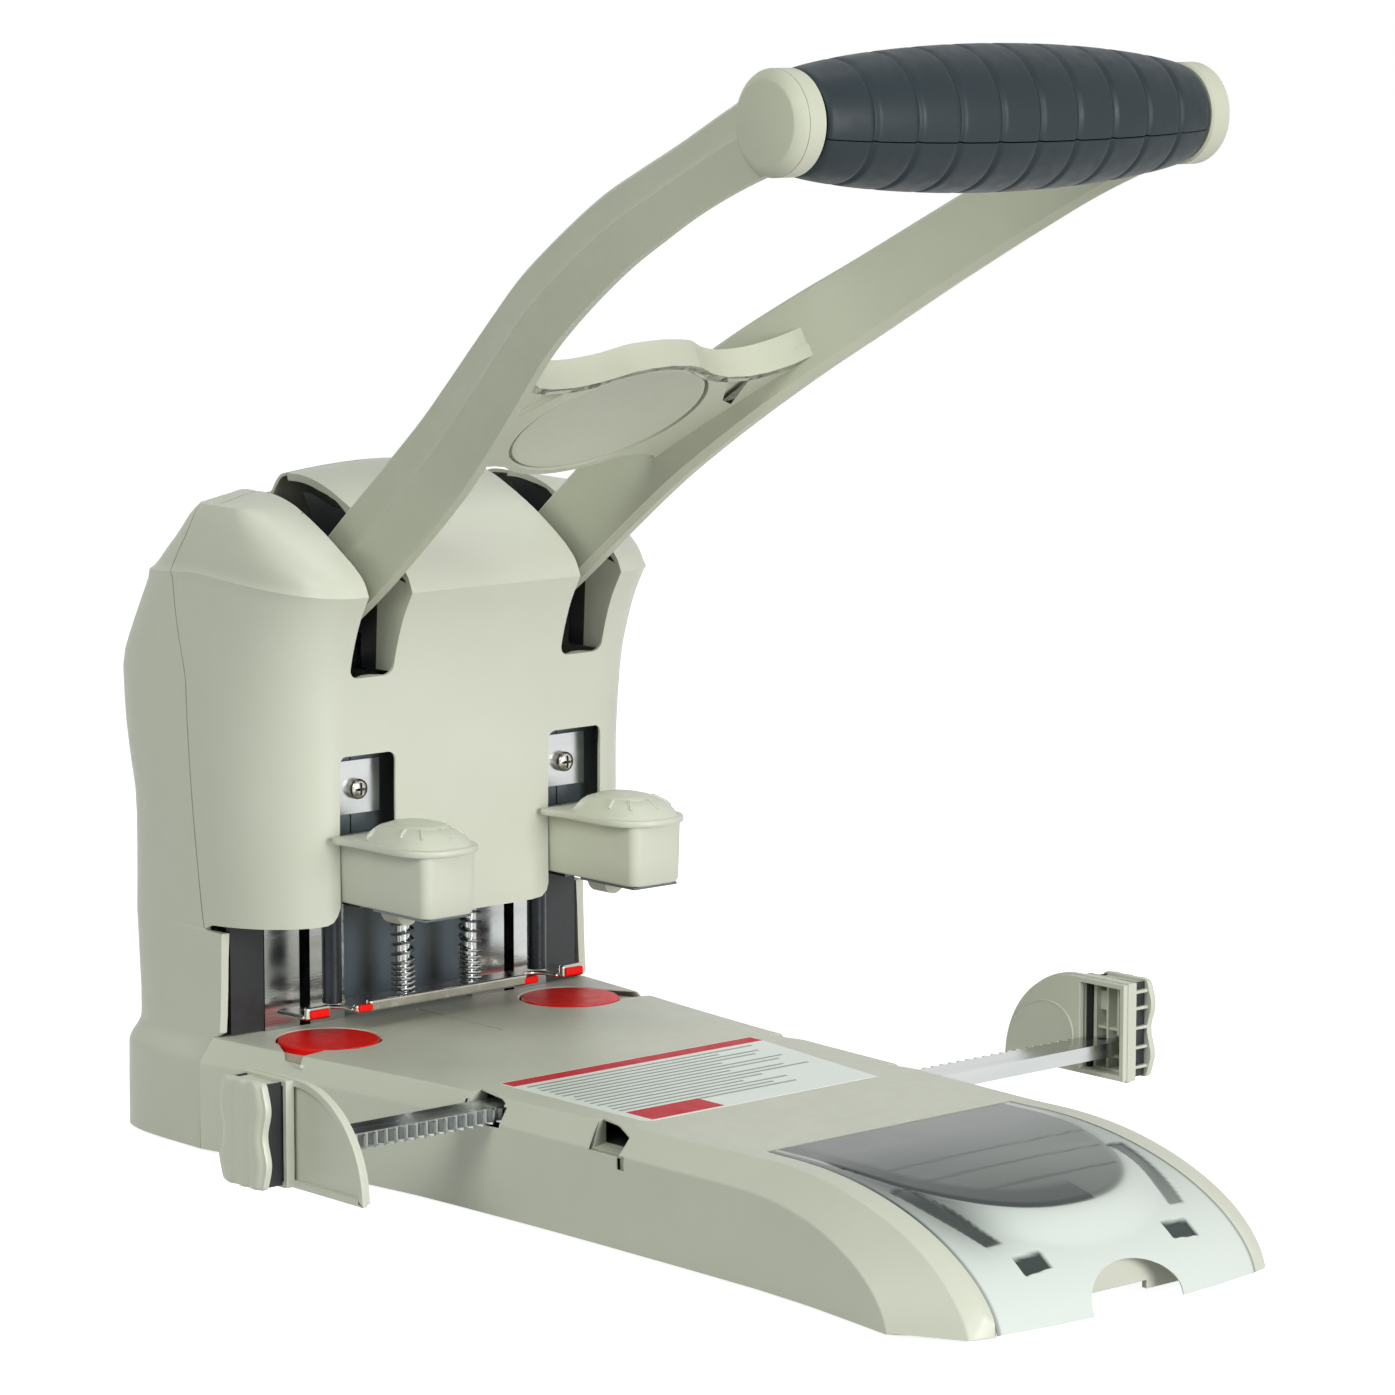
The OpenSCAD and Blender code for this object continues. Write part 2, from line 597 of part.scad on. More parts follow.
module punch_pin() {
    translate([hx, pin_y, tip_z]) difference() {
        cylinder(d = pin_d, h = 90.4 - tip_z);
        translate([0, 0, -1]) cylinder(d = pin_d - 1.6, h = 60);
    }
}
module punch_pin_right() { color(black) punch_pin(); }
module punch_pin_left() { color(black) left() punch_pin(); }

// Pressure springs: close coils below, open coils above
spring_wire = 1;
spring_r = 3.3;
spring_z = [strip_z + strip_t + 0.7, spring_seat - 0.7];
CLOSE = 6;
OPEN = 9;
// Height of the wire after u turns
function coil_z(u) = let (h = spring_z[1] - spring_z[0], c = 1.6)
    u < CLOSE ? spring_z[0] + c * u
    : spring_z[0] + c * CLOSE + (h - c * CLOSE) * (u - CLOSE) / OPEN;
module spring() {
    turns = CLOSE + OPEN;
    loft([for (k = [0:turns * 8]) let (u = k / 8, a = -360 * u, c = [cos(a), sin(a)])
        [for (j = [0:5]) let (b = 60 * j, r = spring_r + spring_wire / 2 * cos(b))
            [spring_x + r * c[0], spring_y + r * c[1], coil_z(u) + spring_wire / 2 * sin(b)]]]);
}
// Least gap between one turn and the next, measured between the section's own points
spring_gap = min([for (k = [0:4:(CLOSE + OPEN - 1) * 8], i = [0:5], j = [0:5])
    let (p = spring_r + spring_wire / 2 * cos(60 * i), q = spring_r + spring_wire / 2 * cos(60 * j))
    norm([p - q, coil_z(k / 8 + 1) - coil_z(k / 8) + spring_wire / 2 * (sin(60 * j) - sin(60 * i))])]);
echo(spring_least_gap_mm = spring_gap);
assert(spring_gap > 0.4);
module spring_right() { color(steel) spring(); }
module spring_left() { color(steel) left() spring(); }
module guide_rods() {
    color(steel) both() translate([spring_x, spring_y, strip_z]) {
        cylinder(d = rod_d, h = 92);
        translate([0, 0, 89]) cylinder(d = 8, h = 3);
    }
}
// Paper stripper: thin plate with an upturned lip and open notches for the pins
module stripper_plate() {
    color(steel) difference() {
        union() {
            box([-hx - 14, 23, strip_z], [hx + 14, 38, strip_z + strip_t]);
            box([-hx + 8, 22, strip_z], [hx - 8, 23.2, strip_z + 4]);
        }
        both() {
            box([hx - 4, 20, strip_z - 1], [hx + 4, pin_y, strip_z + 5]);
            translate([hx, pin_y, strip_z - 1]) cylinder(d = 8, h = 5);
            translate([spring_x, spring_y, strip_z - 1]) cylinder(d = rod_d + 0.04, h = 5);
        }
    }
}
module stripper_tips() {
    color(red) both() {
        box([hx - 7.9, 21.4, strip_z + 0.2], [hx - 4.2, 22.9, strip_z + 3.4]);
        box([hx + 5, 21.4, strip_z + 0.2], [hx + 14, 22.9, strip_z + 3.4]);
    }
}

// ---- paper guides ----

guide_low = 20.5;
guide_high = 51;
block_in = 19.2;
block_out = 40.2;
stop_reach = 10.8;
// Turns the left guide's pieces into the right guide's
module other_guide() { translate([0, 2 * guide_y, 0]) rotate([0, 0, 180]) children(); }
module guide_body() {
    translate([0, guide_y, 0]) difference() {
        union() {
            // stop plate with a quarter-round corner
            prism_x(-guide_half - 3, -guide_half, concat([[block_out, guide_low],
                [block_out, guide_high]], arc([19, guide_high - 29.8], 29.8, 90, 180, 12),
                [[-stop_reach, guide_low]]));
            difference() {
                box([-guide_half - 11, block_in, guide_low], [-guide_half - 2, block_out, guide_high]);
                box([-guide_half - 9, block_in + 2, guide_low + 2], [-guide_half + 1, block_out - 2, guide_high - 2]);
            }
            for (y = [block_in + 4.6 : 4 : block_out - 3]) if (abs(y - block_out + 12) > 20)
                box([-guide_half - 9.5, y, guide_low + 1], [-guide_half - 7, y + 1, guide_high - 1]);
        }
        box([-guide_half - 4, block_in + 2, guide_low + 2], [-guide_half + 1, block_out - 2, guide_high - 2]);
    }
}
module guide_left() { color(beige) guide_body(); }
module guide_right() { color(beige) other_guide() guide_body(); }
// Finger grip on the outside of a guide, with two shallow waves on its ends
module guide_grip() {
    function wave(z) = 0.9 * sin((z - guide_low) * 720 / (guide_high - guide_low));
    zs = [for (i = [0:16]) guide_low + 1 + (guide_high - guide_low - 2) * i / 16];
    translate([0, guide_y, 0]) prism_x(-guide_half - 14, -guide_half - 11.1, concat(
        [for (z = zs) [block_out + 0.2 + wave(z), z]],
        [for (i = [16:-1:0]) [block_in - 0.2 - wave(zs[i]), zs[i]]]));
}
module guide_grip_left() { color(beige) guide_grip(); }
module guide_grip_right() { color(beige) other_guide() guide_grip(); }
// Rack of the left guide: plain bar with teeth towards the pinion
module rack() {
    root = pitch_r + 1;
    p = tooth;
    translate([0, guide_y, rack_z]) difference() {
        linear_extrude(rack_t) polygon(concat(
            [[28, root + rack_w - 1.6], [-guide_half - 8.8, root + rack_w - 1.6],
                [-guide_half - 8.8, root + 0.4], [-56, root + 0.4], [-56, root]],
            [for (k = [-15:7]) each [[k * p - 1.0, root], [k * p - 0.4, root - 1.8],
                [k * p + 0.4, root - 1.8], [k * p + 1.0, root]]],
            [[28, root]]));
        translate([-guide_half - 4, root + 6, -1]) cylinder(d = 3, h = 10);
    }
}
module rack_left() { color(steel) rack(); }
module rack_right() { color(steel) other_guide() rack(); }
module pinion() {
    color(steel) translate([0, guide_y, rack_z]) difference() {
        union() {
            cylinder(r = pitch_r - 1.1, h = rack_t);
            for (i = [0:pinion_teeth - 1]) rotate([0, 0, 360 * (i + 0.5) / pinion_teeth + 90])
                linear_extrude(rack_t) polygon([[pitch_r - 2, -0.95], [pitch_r + 0.7, -0.4],
                    [pitch_r + 0.7, 0.4], [pitch_r - 2, 0.95]]);
        }
        translate([0, 0, -1]) cylinder(d = 8.1, h = 10);
        for (a = [0:60:300]) rotate([0, 0, a]) translate([12, 0, -1]) cylinder(d = 7, h = 10);
    }
}
module pinion_pin() {
    color(dark_steel) translate([0, guide_y, rack_z - 3.3]) cylinder(d = 8, h = rack_t + 3.3);
}
module rack_bridge() {
    color(dark_steel) translate([0, guide_y, rack_z - 3.4]) difference() {
        box([-52, -44, 0], [52, 44, 3]);
        cylinder(d = 8.04, h = 20, center = true);
        for (x = [-38, 38], y = [-10, 10]) translate([x, y, -1]) cylinder(d = 10, h = 6);
    }
}

// ---- front tray and its smoky lid ----

lid_axis = [bay_y - 2.3, base_h - 1.6];
lid_t = 2;
// Insert with a drop-shaped well and side slots
module tray() {
    color(smoke) difference() {
        prism_x(-bay_half[0] + 0.5, bay_half[0] - 0.5, [[-179, plate_top + 0.1], [-179, 24],
            [-215, 24], [-228, 20.5], [-240, 16.5], [-250, 11], [-255.2, 8], [-255.2, plate_top + 0.1]]);
        // drop-shaped well
        translate([0, 0, 9]) linear_extrude(40) polygon(concat(
            arc([0, -230], 17, 200, 340, 12), [[19, -212], [4, -184], [-4, -184], [-19, -212]]));
        both() for (y = [-190, -202]) box([30, y, 12], [38, y + 5, 40]);
        both() box([26, -226, 11], [40, -214, 40]);
    }
}
// One point of the lid: share u across, travel v along the profile (below 0 the flat back,
// 0 to 1 the arch down to the desk), inset t. The bow carries the whole profile forward.
function lid_point(u, v, t) =
    let (a = arch_len - t, back = bay_y - 1.4 + arch_bow,
        y = v < 0 ? arch_y + (arch_y - back) * v : arch_y - a * sin(90 * v),
        z = v < 0 ? base_h - t : (base_h - t) * pow(cos(90 * v), 1.12))
    [u * (bay_half[1] + 2), y - arch_bow * (1 - u * u), z];
LID_V = [-1, 0, 0.15, 0.3, 0.42, 0.52, 0.62, 0.7, 0.78, 0.85, 0.9, 0.945];
module tray_lid() {
    n = len(LID_V) - 1;
    color(smoke, 0.6) difference() {
        intersection() {
            loft([for (u = [-1:1 / 6:1.001]) concat(
                [for (v = LID_V) lid_point(u, v, 0)],
                [for (i = [n:-1:0]) lid_point(u, LID_V[i], lid_t)])]);
            translate([0, 0, -5]) linear_extrude(60) polygon([for (p = bay_plan(-0.3))
                [p[0], min(p[1], bay_y - 1.4)]]);
        }
        // finger cut-out
        translate([0, -250, 0]) rotate([90, 0, 0]) linear_extrude(40) polygon(concat(
            [[17, -2]], [for (a = [0:10:180]) [17 * cos(a), 4 + 9.4 * sin(a)]], [[-17, -2]]));
        // seats of the pivot pins
        both() rod_x(2.02, bay_half[0] - 2.62, 60, lid_axis);
    }
}
module lid_pins() {
    color(steel) both() rod_x(2, bay_half[0] - 2.6, bay_half[0] + base_wall - 0.7, lid_axis);
}

base_housing();
base_plate();
base_screws();
rubber_feet();
rear_shell();
front_cover();
frame_left();
frame_right();
frame_tie();
centre_panel();
throat_panels();
die_bed();
disc_left();
disc_right();
disc_pivots();
lever_frame();
medallion();
handle_tube();
grip_upper();
grip_lower();
end_cap_left();
end_cap_right();
lever_shaft();
shaft_bushes();
shaft_clips();
drive_bar();
crosshead();
crosshead_keys();
holder_left();
holder_right();
clamp_screws();
knob_body_left();
knob_body_right();
knob_cap_left();
knob_cap_right();
punch_pin_left();
punch_pin_right();
spring_left();
spring_right();
guide_rods();
stripper_plate();
stripper_tips();
guide_left();
guide_right();
guide_grip_left();
guide_grip_right();
rack_left();
rack_right();
pinion();
pinion_pin();
rack_bridge();
tray();
tray_lid();
lid_pins();
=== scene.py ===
"""Heavy-duty two-hole punch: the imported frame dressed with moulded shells, cast lever, grips and
a smoky tray lid. All shapes are worked out in millimetres and turned to metres in piece()."""
import json
import bpy
import bmesh
import numpy as np
from mathutils import Matrix, Vector


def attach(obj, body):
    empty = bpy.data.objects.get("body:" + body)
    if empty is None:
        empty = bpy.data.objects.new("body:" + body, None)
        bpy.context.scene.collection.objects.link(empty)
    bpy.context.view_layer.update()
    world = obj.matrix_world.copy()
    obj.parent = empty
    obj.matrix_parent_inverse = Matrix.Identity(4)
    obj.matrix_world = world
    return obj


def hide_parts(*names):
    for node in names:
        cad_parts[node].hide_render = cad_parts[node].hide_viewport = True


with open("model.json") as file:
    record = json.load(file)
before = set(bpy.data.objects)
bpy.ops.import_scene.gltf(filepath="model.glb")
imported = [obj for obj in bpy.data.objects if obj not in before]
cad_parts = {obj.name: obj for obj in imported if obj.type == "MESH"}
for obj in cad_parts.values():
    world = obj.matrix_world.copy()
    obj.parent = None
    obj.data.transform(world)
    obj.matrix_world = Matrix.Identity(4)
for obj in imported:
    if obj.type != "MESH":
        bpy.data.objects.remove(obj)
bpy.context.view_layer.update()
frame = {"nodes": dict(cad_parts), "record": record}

MM = 0.001

# Sizes shared with the construction model: punch axes, height of the work surface, middle of the
# guides, lever's shaft and grip, start and length of the front arch, rear end of the tray bay
HX, PIN_Y, BASE_H, GUIDE_Y = 40.0, 28.4, 34.2, -97.25
PIVOT, GRIP, GRIP_HALF = (50.0, 150.0), (-209.0, 312.2), 70.5
ARCH_Y, ARCH_LEN, BAY_Y = -186, 79.5, -173
TOWER_HALF, WALL = 71.5, 2.6
TOOTH_PITCH, GROOVE_PITCH = 3.534, 14.1
SIDES = ((1, "right"), (-1, "left"))
BEIGE, CASTING = "beige_moulding", "beige_casting"


# ---- mesh helpers ----

def curve(x, xs, ys):
    """Smooth monotone curve through the points (xs, ys), read at x. Between two points it is the
    cubic with the slopes at both ends; a slope is the harmonic mean of the chords beside it."""
    xs, ys, x = (np.asarray(a, float) for a in (xs, ys, x))
    h = np.diff(xs)
    d = np.diff(ys) / h
    both = d[:-1] * d[1:]
    inner = np.where(both > 0, 2 * both / np.where(d[:-1] + d[1:] == 0, 1, d[:-1] + d[1:]), 0)
    m = np.concatenate([d[:1], inner, d[-1:]])
    i = np.clip(np.searchsorted(xs, x) - 1, 0, len(h) - 1)
    t = np.clip((x - xs[i]) / h[i], 0, 1)
    return ((2 * t**3 - 3 * t**2 + 1) * ys[i] + (t**3 - 2 * t**2 + t) * h[i] * m[i]
            + (3 * t**2 - 2 * t**3) * ys[i + 1] + (t**3 - t**2) * h[i] * m[i + 1])


def through(points, n, closed=False):
    """n points along the smooth curve through the given ones (Catmull-Rom: each stretch is a
    cubic whose end slopes are half the chord between the neighbours)."""
    p = np.asarray(points, float)
    if closed:
        p = np.concatenate([p[-1:], p, p[:2]])
    else:
        p = np.concatenate([2 * p[:1] - p[1:2], p, 2 * p[-1:] - p[-2:-1]])
    u = np.linspace(0, len(p) - 3, n, endpoint=not closed)
    i = np.minimum(u.astype(int), len(p) - 4)
    t = (u - i)[:, None]
    a, b, c, d = p[i], p[i + 1], p[i + 2], p[i + 3]
    return 0.5 * (2 * b + (c - a) * t + (2 * a - 5 * b + 4 * c - d) * t**2
                  + (3 * b - a - 3 * c + d) * t**3)


def quads(rows, cols, closed=False):
    """Corner numbers of the quads between neighbouring points of a rows x cols grid."""
    i = np.arange(rows * cols).reshape(rows, cols)
    if closed:
        i = np.concatenate([i, i[:, :1]], 1)
    return np.stack([i[:-1, :-1], i[:-1, 1:], i[1:, 1:], i[1:, :-1]], -1)


def sheet(points, keep=None):
    """Open surface on a grid of points (rows, cols, 3), without the cells where keep is False."""
    rows, cols = points.shape[:2]
    q = quads(rows, cols)
    q = q.reshape(-1, 4) if keep is None else q[keep]
    return points.reshape(-1, 3), q.tolist()


def skin(rings, closed_path=False):
    """Closed skin over rings of points (n, m, 3), with a flat cap at each end."""
    n, m = rings.shape[:2]
    if closed_path:
        rings = np.concatenate([rings, rings[:1]])
        return rings.reshape(-1, 3), quads(n + 1, m, True).reshape(-1, 4).tolist()
    q = quads(n, m, True).reshape(-1, 4).tolist()
    return rings.reshape(-1, 3), q + [list(range(m))[::-1], list(range((n - 1) * m, n * m))]


def lathe(profile, n=64):
    """Profile of (radius, height) points turned about the third axis."""
    p = np.asarray(profile, float)
    a = np.radians(np.linspace(0, 360, n, endpoint=False))[:, None]
    rings = np.stack([p[:, 0] * np.cos(a), p[:, 0] * np.sin(a), 0 * a + p[:, 1]], -1)
    return skin(rings, closed_path=True)


def prism(outline, low, high):
    """Flat outline of (a, b) points carried from low to high along the third axis."""
    o = np.asarray(outline, float)
    rings = np.stack([np.concatenate([o, np.full((len(o), 1), h)], 1) for h in (low, high)])
    return skin(rings)


def box(low, high):
    """Block between two opposite corners."""
    x0, y0, z0 = low
    x1, y1, z1 = high
    return prism([(x0, y0), (x1, y0), (x1, y1), (x0, y1)], z0, z1)


def tube(path, radius, n=12):
    """Round section carried along a path; its frame turns with the path's own direction."""
    p = np.asarray(path, float)
    d = np.gradient(p, axis=0)
    d /= np.linalg.norm(d, axis=1)[:, None]
    side = np.cross(d, [0, 0, 1.0001]) + 1e-9
    side /= np.linalg.norm(side, axis=1)[:, None]
    up = np.cross(side, d)
    a = np.linspace(0, 2 * np.pi, n, endpoint=False)[None, :, None]
    return skin(p[:, None] + radius * (np.cos(a) * side[:, None] + np.sin(a) * up[:, None]))


def placed(part, how):
    """The part with its points moved by the function how."""
    return how(part[0]), part[1]


def mirrored(part):
    """The part's twin on the other side of the middle plane, faces turned round to suit."""
    return part[0] * [-1, 1, 1], [f[::-1] for f in part[1]]


def both(*parts):
    """Every part, each followed by its twin."""
    return [p for part in parts for p in (part, mirrored(part))]


def on_side(sign, parts):
    """The parts as they are for the right side (sign 1), their twins for the left."""
    return parts if sign > 0 else [mirrored(p) for p in parts]


def along_x(at):
    """Lathe axis laid along X through (y, z)."""
    return lambda p: np.stack([p[:, 2], at[0] + p[:, 0], at[1] + p[:, 1]], 1)


def along_y(at):
    """Lathe axis laid along -Y, towards the user, through (x, z)."""
    return lambda p: np.stack([at[0] + p[:, 0], -p[:, 2], at[1] + p[:, 1]], 1)


def joined(parts):
    """One vertex array and one face list from several parts."""
    verts = np.concatenate([p[0] for p in parts])
    first = np.cumsum([0] + [len(p[0]) for p in parts[:-1]])
    return verts, [[i + k for i in f] for p, k in zip(parts, first) for f in p[1]]


def mesh_of(name, parts, inside=None, shade=None):
    """Mesh in metres: doubled points merged, faces outward. inside is a point that an open
    surface faces away from; shade is one value per point, which a material may read."""
    verts, faces = joined(parts)
    me = bpy.data.meshes.new(name)
    me.from_pydata((verts * MM).tolist(), [], faces)
    if shade is not None:
        layer = me.attributes.new("shade", "FLOAT", "POINT")
        layer.data.foreach_set("value", np.asarray(shade, np.float32).ravel())
    bm = bmesh.new()
    bm.from_mesh(me)
    bmesh.ops.remove_doubles(bm, verts=bm.verts, dist=2e-6)
    bmesh.ops.dissolve_degenerate(bm, edges=bm.edges, dist=1e-6)
    bmesh.ops.recalc_face_normals(bm, faces=bm.faces)
    if inside is not None:
        ref = Vector([c * MM for c in inside])
        facing = sum((f.calc_center_median() - ref).dot(f.normal) * f.calc_area() for f in bm.faces)
        if facing < 0:
            bmesh.ops.reverse_faces(bm, faces=bm.faces)
    bm.to_mesh(me)
    bm.free()
    return me


def linked(name, data):
    """New object of that name in the scene, holding data."""
    obj = bpy.data.objects.new(name, data)
    bpy.context.scene.collection.objects.link(obj)
    return obj


def baked(obj):
    """Works the modifiers into the object's own mesh."""
    bpy.context.view_layer.update()
    deps = bpy.context.evaluated_depsgraph_get()
    me = bpy.data.meshes.new_from_object(obj.evaluated_get(deps))
    obj.modifiers.clear()
    obj.data = me


def smoothed(obj, sharp):
    """Smooth shading, broken where two faces meet at more than sharp degrees."""
    obj.data.shade_smooth()
    obj.data.set_sharp_from_angle(angle=np.radians(sharp))


def piece(name, parts, body, slot, mat=None, replaces=(), inside=None, wall=0, bevel=0, steps=2,
          angle=38, cuts=(), sharp=32, shade=None, flat=False):
    """One visible piece: parts joined, thickened inward by wall, cut by the closed parts in cuts,
    and its sharp edges rounded by bevel. flat lets the large faces keep their own shading."""
    obj = linked(name, mesh_of(name, parts, inside, shade))
    smoothed(obj, sharp)
    if wall:
        m = obj.modifiers.new("wall", "SOLIDIFY")
        m.thickness, m.offset, m.use_even_offset, m.thickness_clamp = wall * MM, -1, True, 1
    for cut in cuts:
        tool = linked(f"{name}_cut", mesh_of(f"{name}_cut", cut))
        m = obj.modifiers.new("cut", "BOOLEAN")
        m.object, m.operation, m.solver = tool, "DIFFERENCE", "EXACT"
        baked(obj)
        bpy.data.objects.remove(tool)
    if cuts:
        smoothed(obj, sharp)
    if bevel:
        m = obj.modifiers.new("edge", "BEVEL")
        m.width, m.segments, m.limit_method = bevel * MM, steps, "ANGLE"
        m.angle_limit, m.harden_normals, m.miter_outer = np.radians(angle), True, "MITER_ARC"
    if flat:
        m = obj.modifiers.new("flat", "WEIGHTED_NORMAL")
        m.mode, m.keep_sharp = "FACE_AREA", True
    obj.data.materials.clear()
    obj.data.materials.append(FINISH[mat or slot])
    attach(obj, body)
    if replaces:
        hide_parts(*([replaces] if isinstance(replaces, str) else replaces))


# ---- materials ----

def linear(hex_colour):
    """sRGB hex to linear RGBA: (c/12.92) below 0.04045, else ((c + 0.055)/1.055)^2.4."""
    c = np.array([int(hex_colour[i:i + 2], 16) for i in (1, 3, 5)]) / 255
    return (*np.where(c <= 0.04045, c / 12.92, ((c + 0.055) / 1.055) ** 2.4).tolist(), 1.0)


def add(tree, kind, settings=(), links=()):
    """Adds one node: settings by property or input name, links as input -> output socket."""
    n = tree.nodes.new(kind)
    for key, value in dict(settings).items():
        if isinstance(key, str) and hasattr(n, key):
            setattr(n, key, value)
        else:
            n.inputs[key].default_value = value
    for key, socket in dict(links).items():
        tree.links.new(socket, n.inputs[key])
    return n


def cleared(holder):
    """Emptied node tree of a material or world."""
    holder.use_nodes = True
    holder.node_tree.nodes.clear()
    return holder.node_tree


def finish(name, colour, rough, shade=None, metallic=0.0, ior=1.5, blotch_mm=24, grain_mm=0.5,
           bump=0.03, rough_swing=0.06, stretch=(1, 1, 1), more=()):
    """Plain moulded, painted or metal surface: two colours blended by a soft blotch, a fine grain
    in the bump, and a roughness that swings with a middle-sized noise."""
    mat = bpy.data.materials.new(name)
    t = cleared(mat)
    co = add(t, "ShaderNodeTexCoord")
    at = add(t, "ShaderNodeMapping", {"Scale": stretch}, {"Vector": co.outputs["Object"]})
    where = {"Vector": at.outputs[0]}
    blotch = add(t, "ShaderNodeTexNoise", {"Scale": 1000 / blotch_mm, "Detail": 3.0}, where)
    ramp = add(t, "ShaderNodeMix", {"data_type": "RGBA", 6: linear(colour),
                                    7: linear(shade or colour)}, {"Factor": blotch.outputs[0]})
    middle = add(t, "ShaderNodeTexNoise", {"Scale": 250.0, "Detail": 4.0}, where)
    level = add(t, "ShaderNodeMapRange", {"From Min": 0.3, "From Max": 0.7, "To Min":
                rough - rough_swing, "To Max": rough + rough_swing}, {"Value": middle.outputs[0]})
    grain = add(t, "ShaderNodeTexNoise", {"Scale": 1000 / grain_mm, "Detail": 2.0}, where)
    rise = add(t, "ShaderNodeBump", {"Strength": bump * 10, "Distance": 0.0001},
               {"Height": grain.outputs[0]})
    skin_ = add(t, "ShaderNodeBsdfPrincipled", {"Metallic": metallic, **dict(more)},
                {"Base Color": ramp.outputs[2], "Roughness": level.outputs[0],
                 "Normal": rise.outputs[0]})
    if not metallic:
        skin_.inputs["IOR"].default_value = ior
    add(t, "ShaderNodeOutputMaterial", {}, {"Surface": skin_.outputs[0]})
    return mat


FINISH = {
    # ABS moulded in a lightly spark-eroded tool: even warm grey-green with a dull sheen
    "beige_moulding": finish("moulded_abs_beige", "#CDCEC2", 0.42, "#C6C9BA", grain_mm=0.45,
                             bump=0.02),
    # Zinc die casting under powder coat: a little greener, with a fine orange-peel surface
    "beige_casting": finish("powder_coated_casting", "#C2C4B4", 0.5, "#B7BAA8", grain_mm=0.7,
                            bump=0.05, blotch_mm=30),
    # Blackened steel plate: dark blue-grey with a satin face
    "dark_plate": finish("blackened_steel_plate", "#6E777C", 0.38, "#5C656B", metallic=0.85,
                         blotch_mm=12),
    # Ground and polished steel: fine grinding lines along X
    "bright_steel": finish("ground_steel", "#C9CBCA", 0.2, "#B4B7B8", metallic=1.0, blotch_mm=9,
                           stretch=(0.15, 1, 1), rough_swing=0.07),
    # Coated label paper and its two inks: flat, nearly without grain
    "label_white": finish("coated_label_paper", "#EEF4F1", 0.4, "#E8EFEC", grain_mm=0.8,
                          bump=0.005),
    "label_red": finish("red_label_ink", "#CC1F30", 0.5, "#C41B2B", grain_mm=0.8, bump=0.005,
                        more={"Specular IOR Level": 0.2}),
    "label_grey": finish("grey_label_ink", "#8F9794", 0.45, "#89918E", grain_mm=0.8, bump=0.005),
    # Nickel plate on small steel parts: bright, with a warm tinge
    "nickel": finish("nickel_plated_steel", "#D0CDC4", 0.22, "#B9B5AB", metallic=1.0, blotch_mm=6,
                     rough_swing=0.08),
    # Moulded rubber of the feet: dull and dark
    "black_rubber": finish("black_rubber", "#1E1F21", 0.75, "#27292B", bump=0.06),
    # Slate-painted sheet steel: blue-grey satin paint
    "slate_panel": finish("slate_painted_steel", "#4A555C", 0.35, "#424C53"),
    # Black satin paint on the throat's side panels; the same black stands in as painted shade in
    # the arm slots, the screws' cross recesses and the guides' hollows
    "black_panel": finish("black_paint_and_painted_shade", "#1B1D20", 0.45, "#232629"),
    # Glossy red polypropylene of the discs and stripper tips
    "red_plastic": finish("red_polypropylene", "#EE160F", 0.4, "#E4120B", grain_mm=1.2,
                          bump=0.01, ior=1.49, more={"Specular IOR Level": 0.18}),
    # Slate-grey moulded grip: satin plastic with a soft highlight
    "slate_grip": finish("slate_abs_grip", "#1B272D", 0.5, "#172228", bump=0.02,
                         more={"Specular IOR Level": 0.3}),
    # Sintered bronze of the shaft bushes: warm and porous
    "bronze_bush": finish("sintered_bronze", "#A5824E", 0.4, "#8F6F42", metallic=1.0),
    # Hardened punch steel, blacked
    "black_steel": finish("blacked_tool_steel", "#2A2E33", 0.3, "#202428", metallic=0.6),
    # ABS of the tray insert: a cooler grey than the base
    "grey_tray": finish("moulded_abs_grey", "#A9B0A8", 0.45, "#9DA59D"),
}


def smoky():
    """Smoke-tinted acrylic, frosted inside: pale where it lies open, darker where the attribute
    shade says so;
    that attribute carries the lid's painted shade."""
    mat = bpy.data.materials.new("tinted_acrylic_with_painted_shade")
    t = cleared(mat)
    co = add(t, "ShaderNodeTexCoord")
    haze = add(t, "ShaderNodeTexNoise", {"Scale": 60.0, "Detail": 3.0},
               {"Vector": co.outputs["Object"]})
    level = add(t, "ShaderNodeMapRange", {"To Min": 0.14, "To Max": 0.3},
                {"Value": haze.outputs[0]})
    # The attribute shade holds the lid's painted shade
    lid_shade = add(t, "ShaderNodeAttribute", {"attribute_name": "shade"})
    tint = add(t, "ShaderNodeMix", {"data_type": "RGBA", 6: linear("#DCE3DF"),
                                    7: linear("#2F3B38")}, {"Factor": lid_shade.outputs["Fac"]})
    skin_ = add(t, "ShaderNodeBsdfPrincipled",
                {"Transmission Weight": 0.12, "IOR": 1.49, "Specular IOR Level": 0.3},
                {"Roughness": level.outputs[0], "Base Color": tint.outputs[2]})
    add(t, "ShaderNodeOutputMaterial", {}, {"Surface": skin_.outputs[0]})
    return mat


FINISH["smoky_lid"] = smoky()

# CAD nodes that stay as they are take the finish of the slot that the record gives them
for part in frame["record"]["subparts"]:
    me = frame["nodes"][part["node"]].data
    me.materials.clear()
    me.materials.append(FINISH[part["material_slot"]])


# ---- tower ----

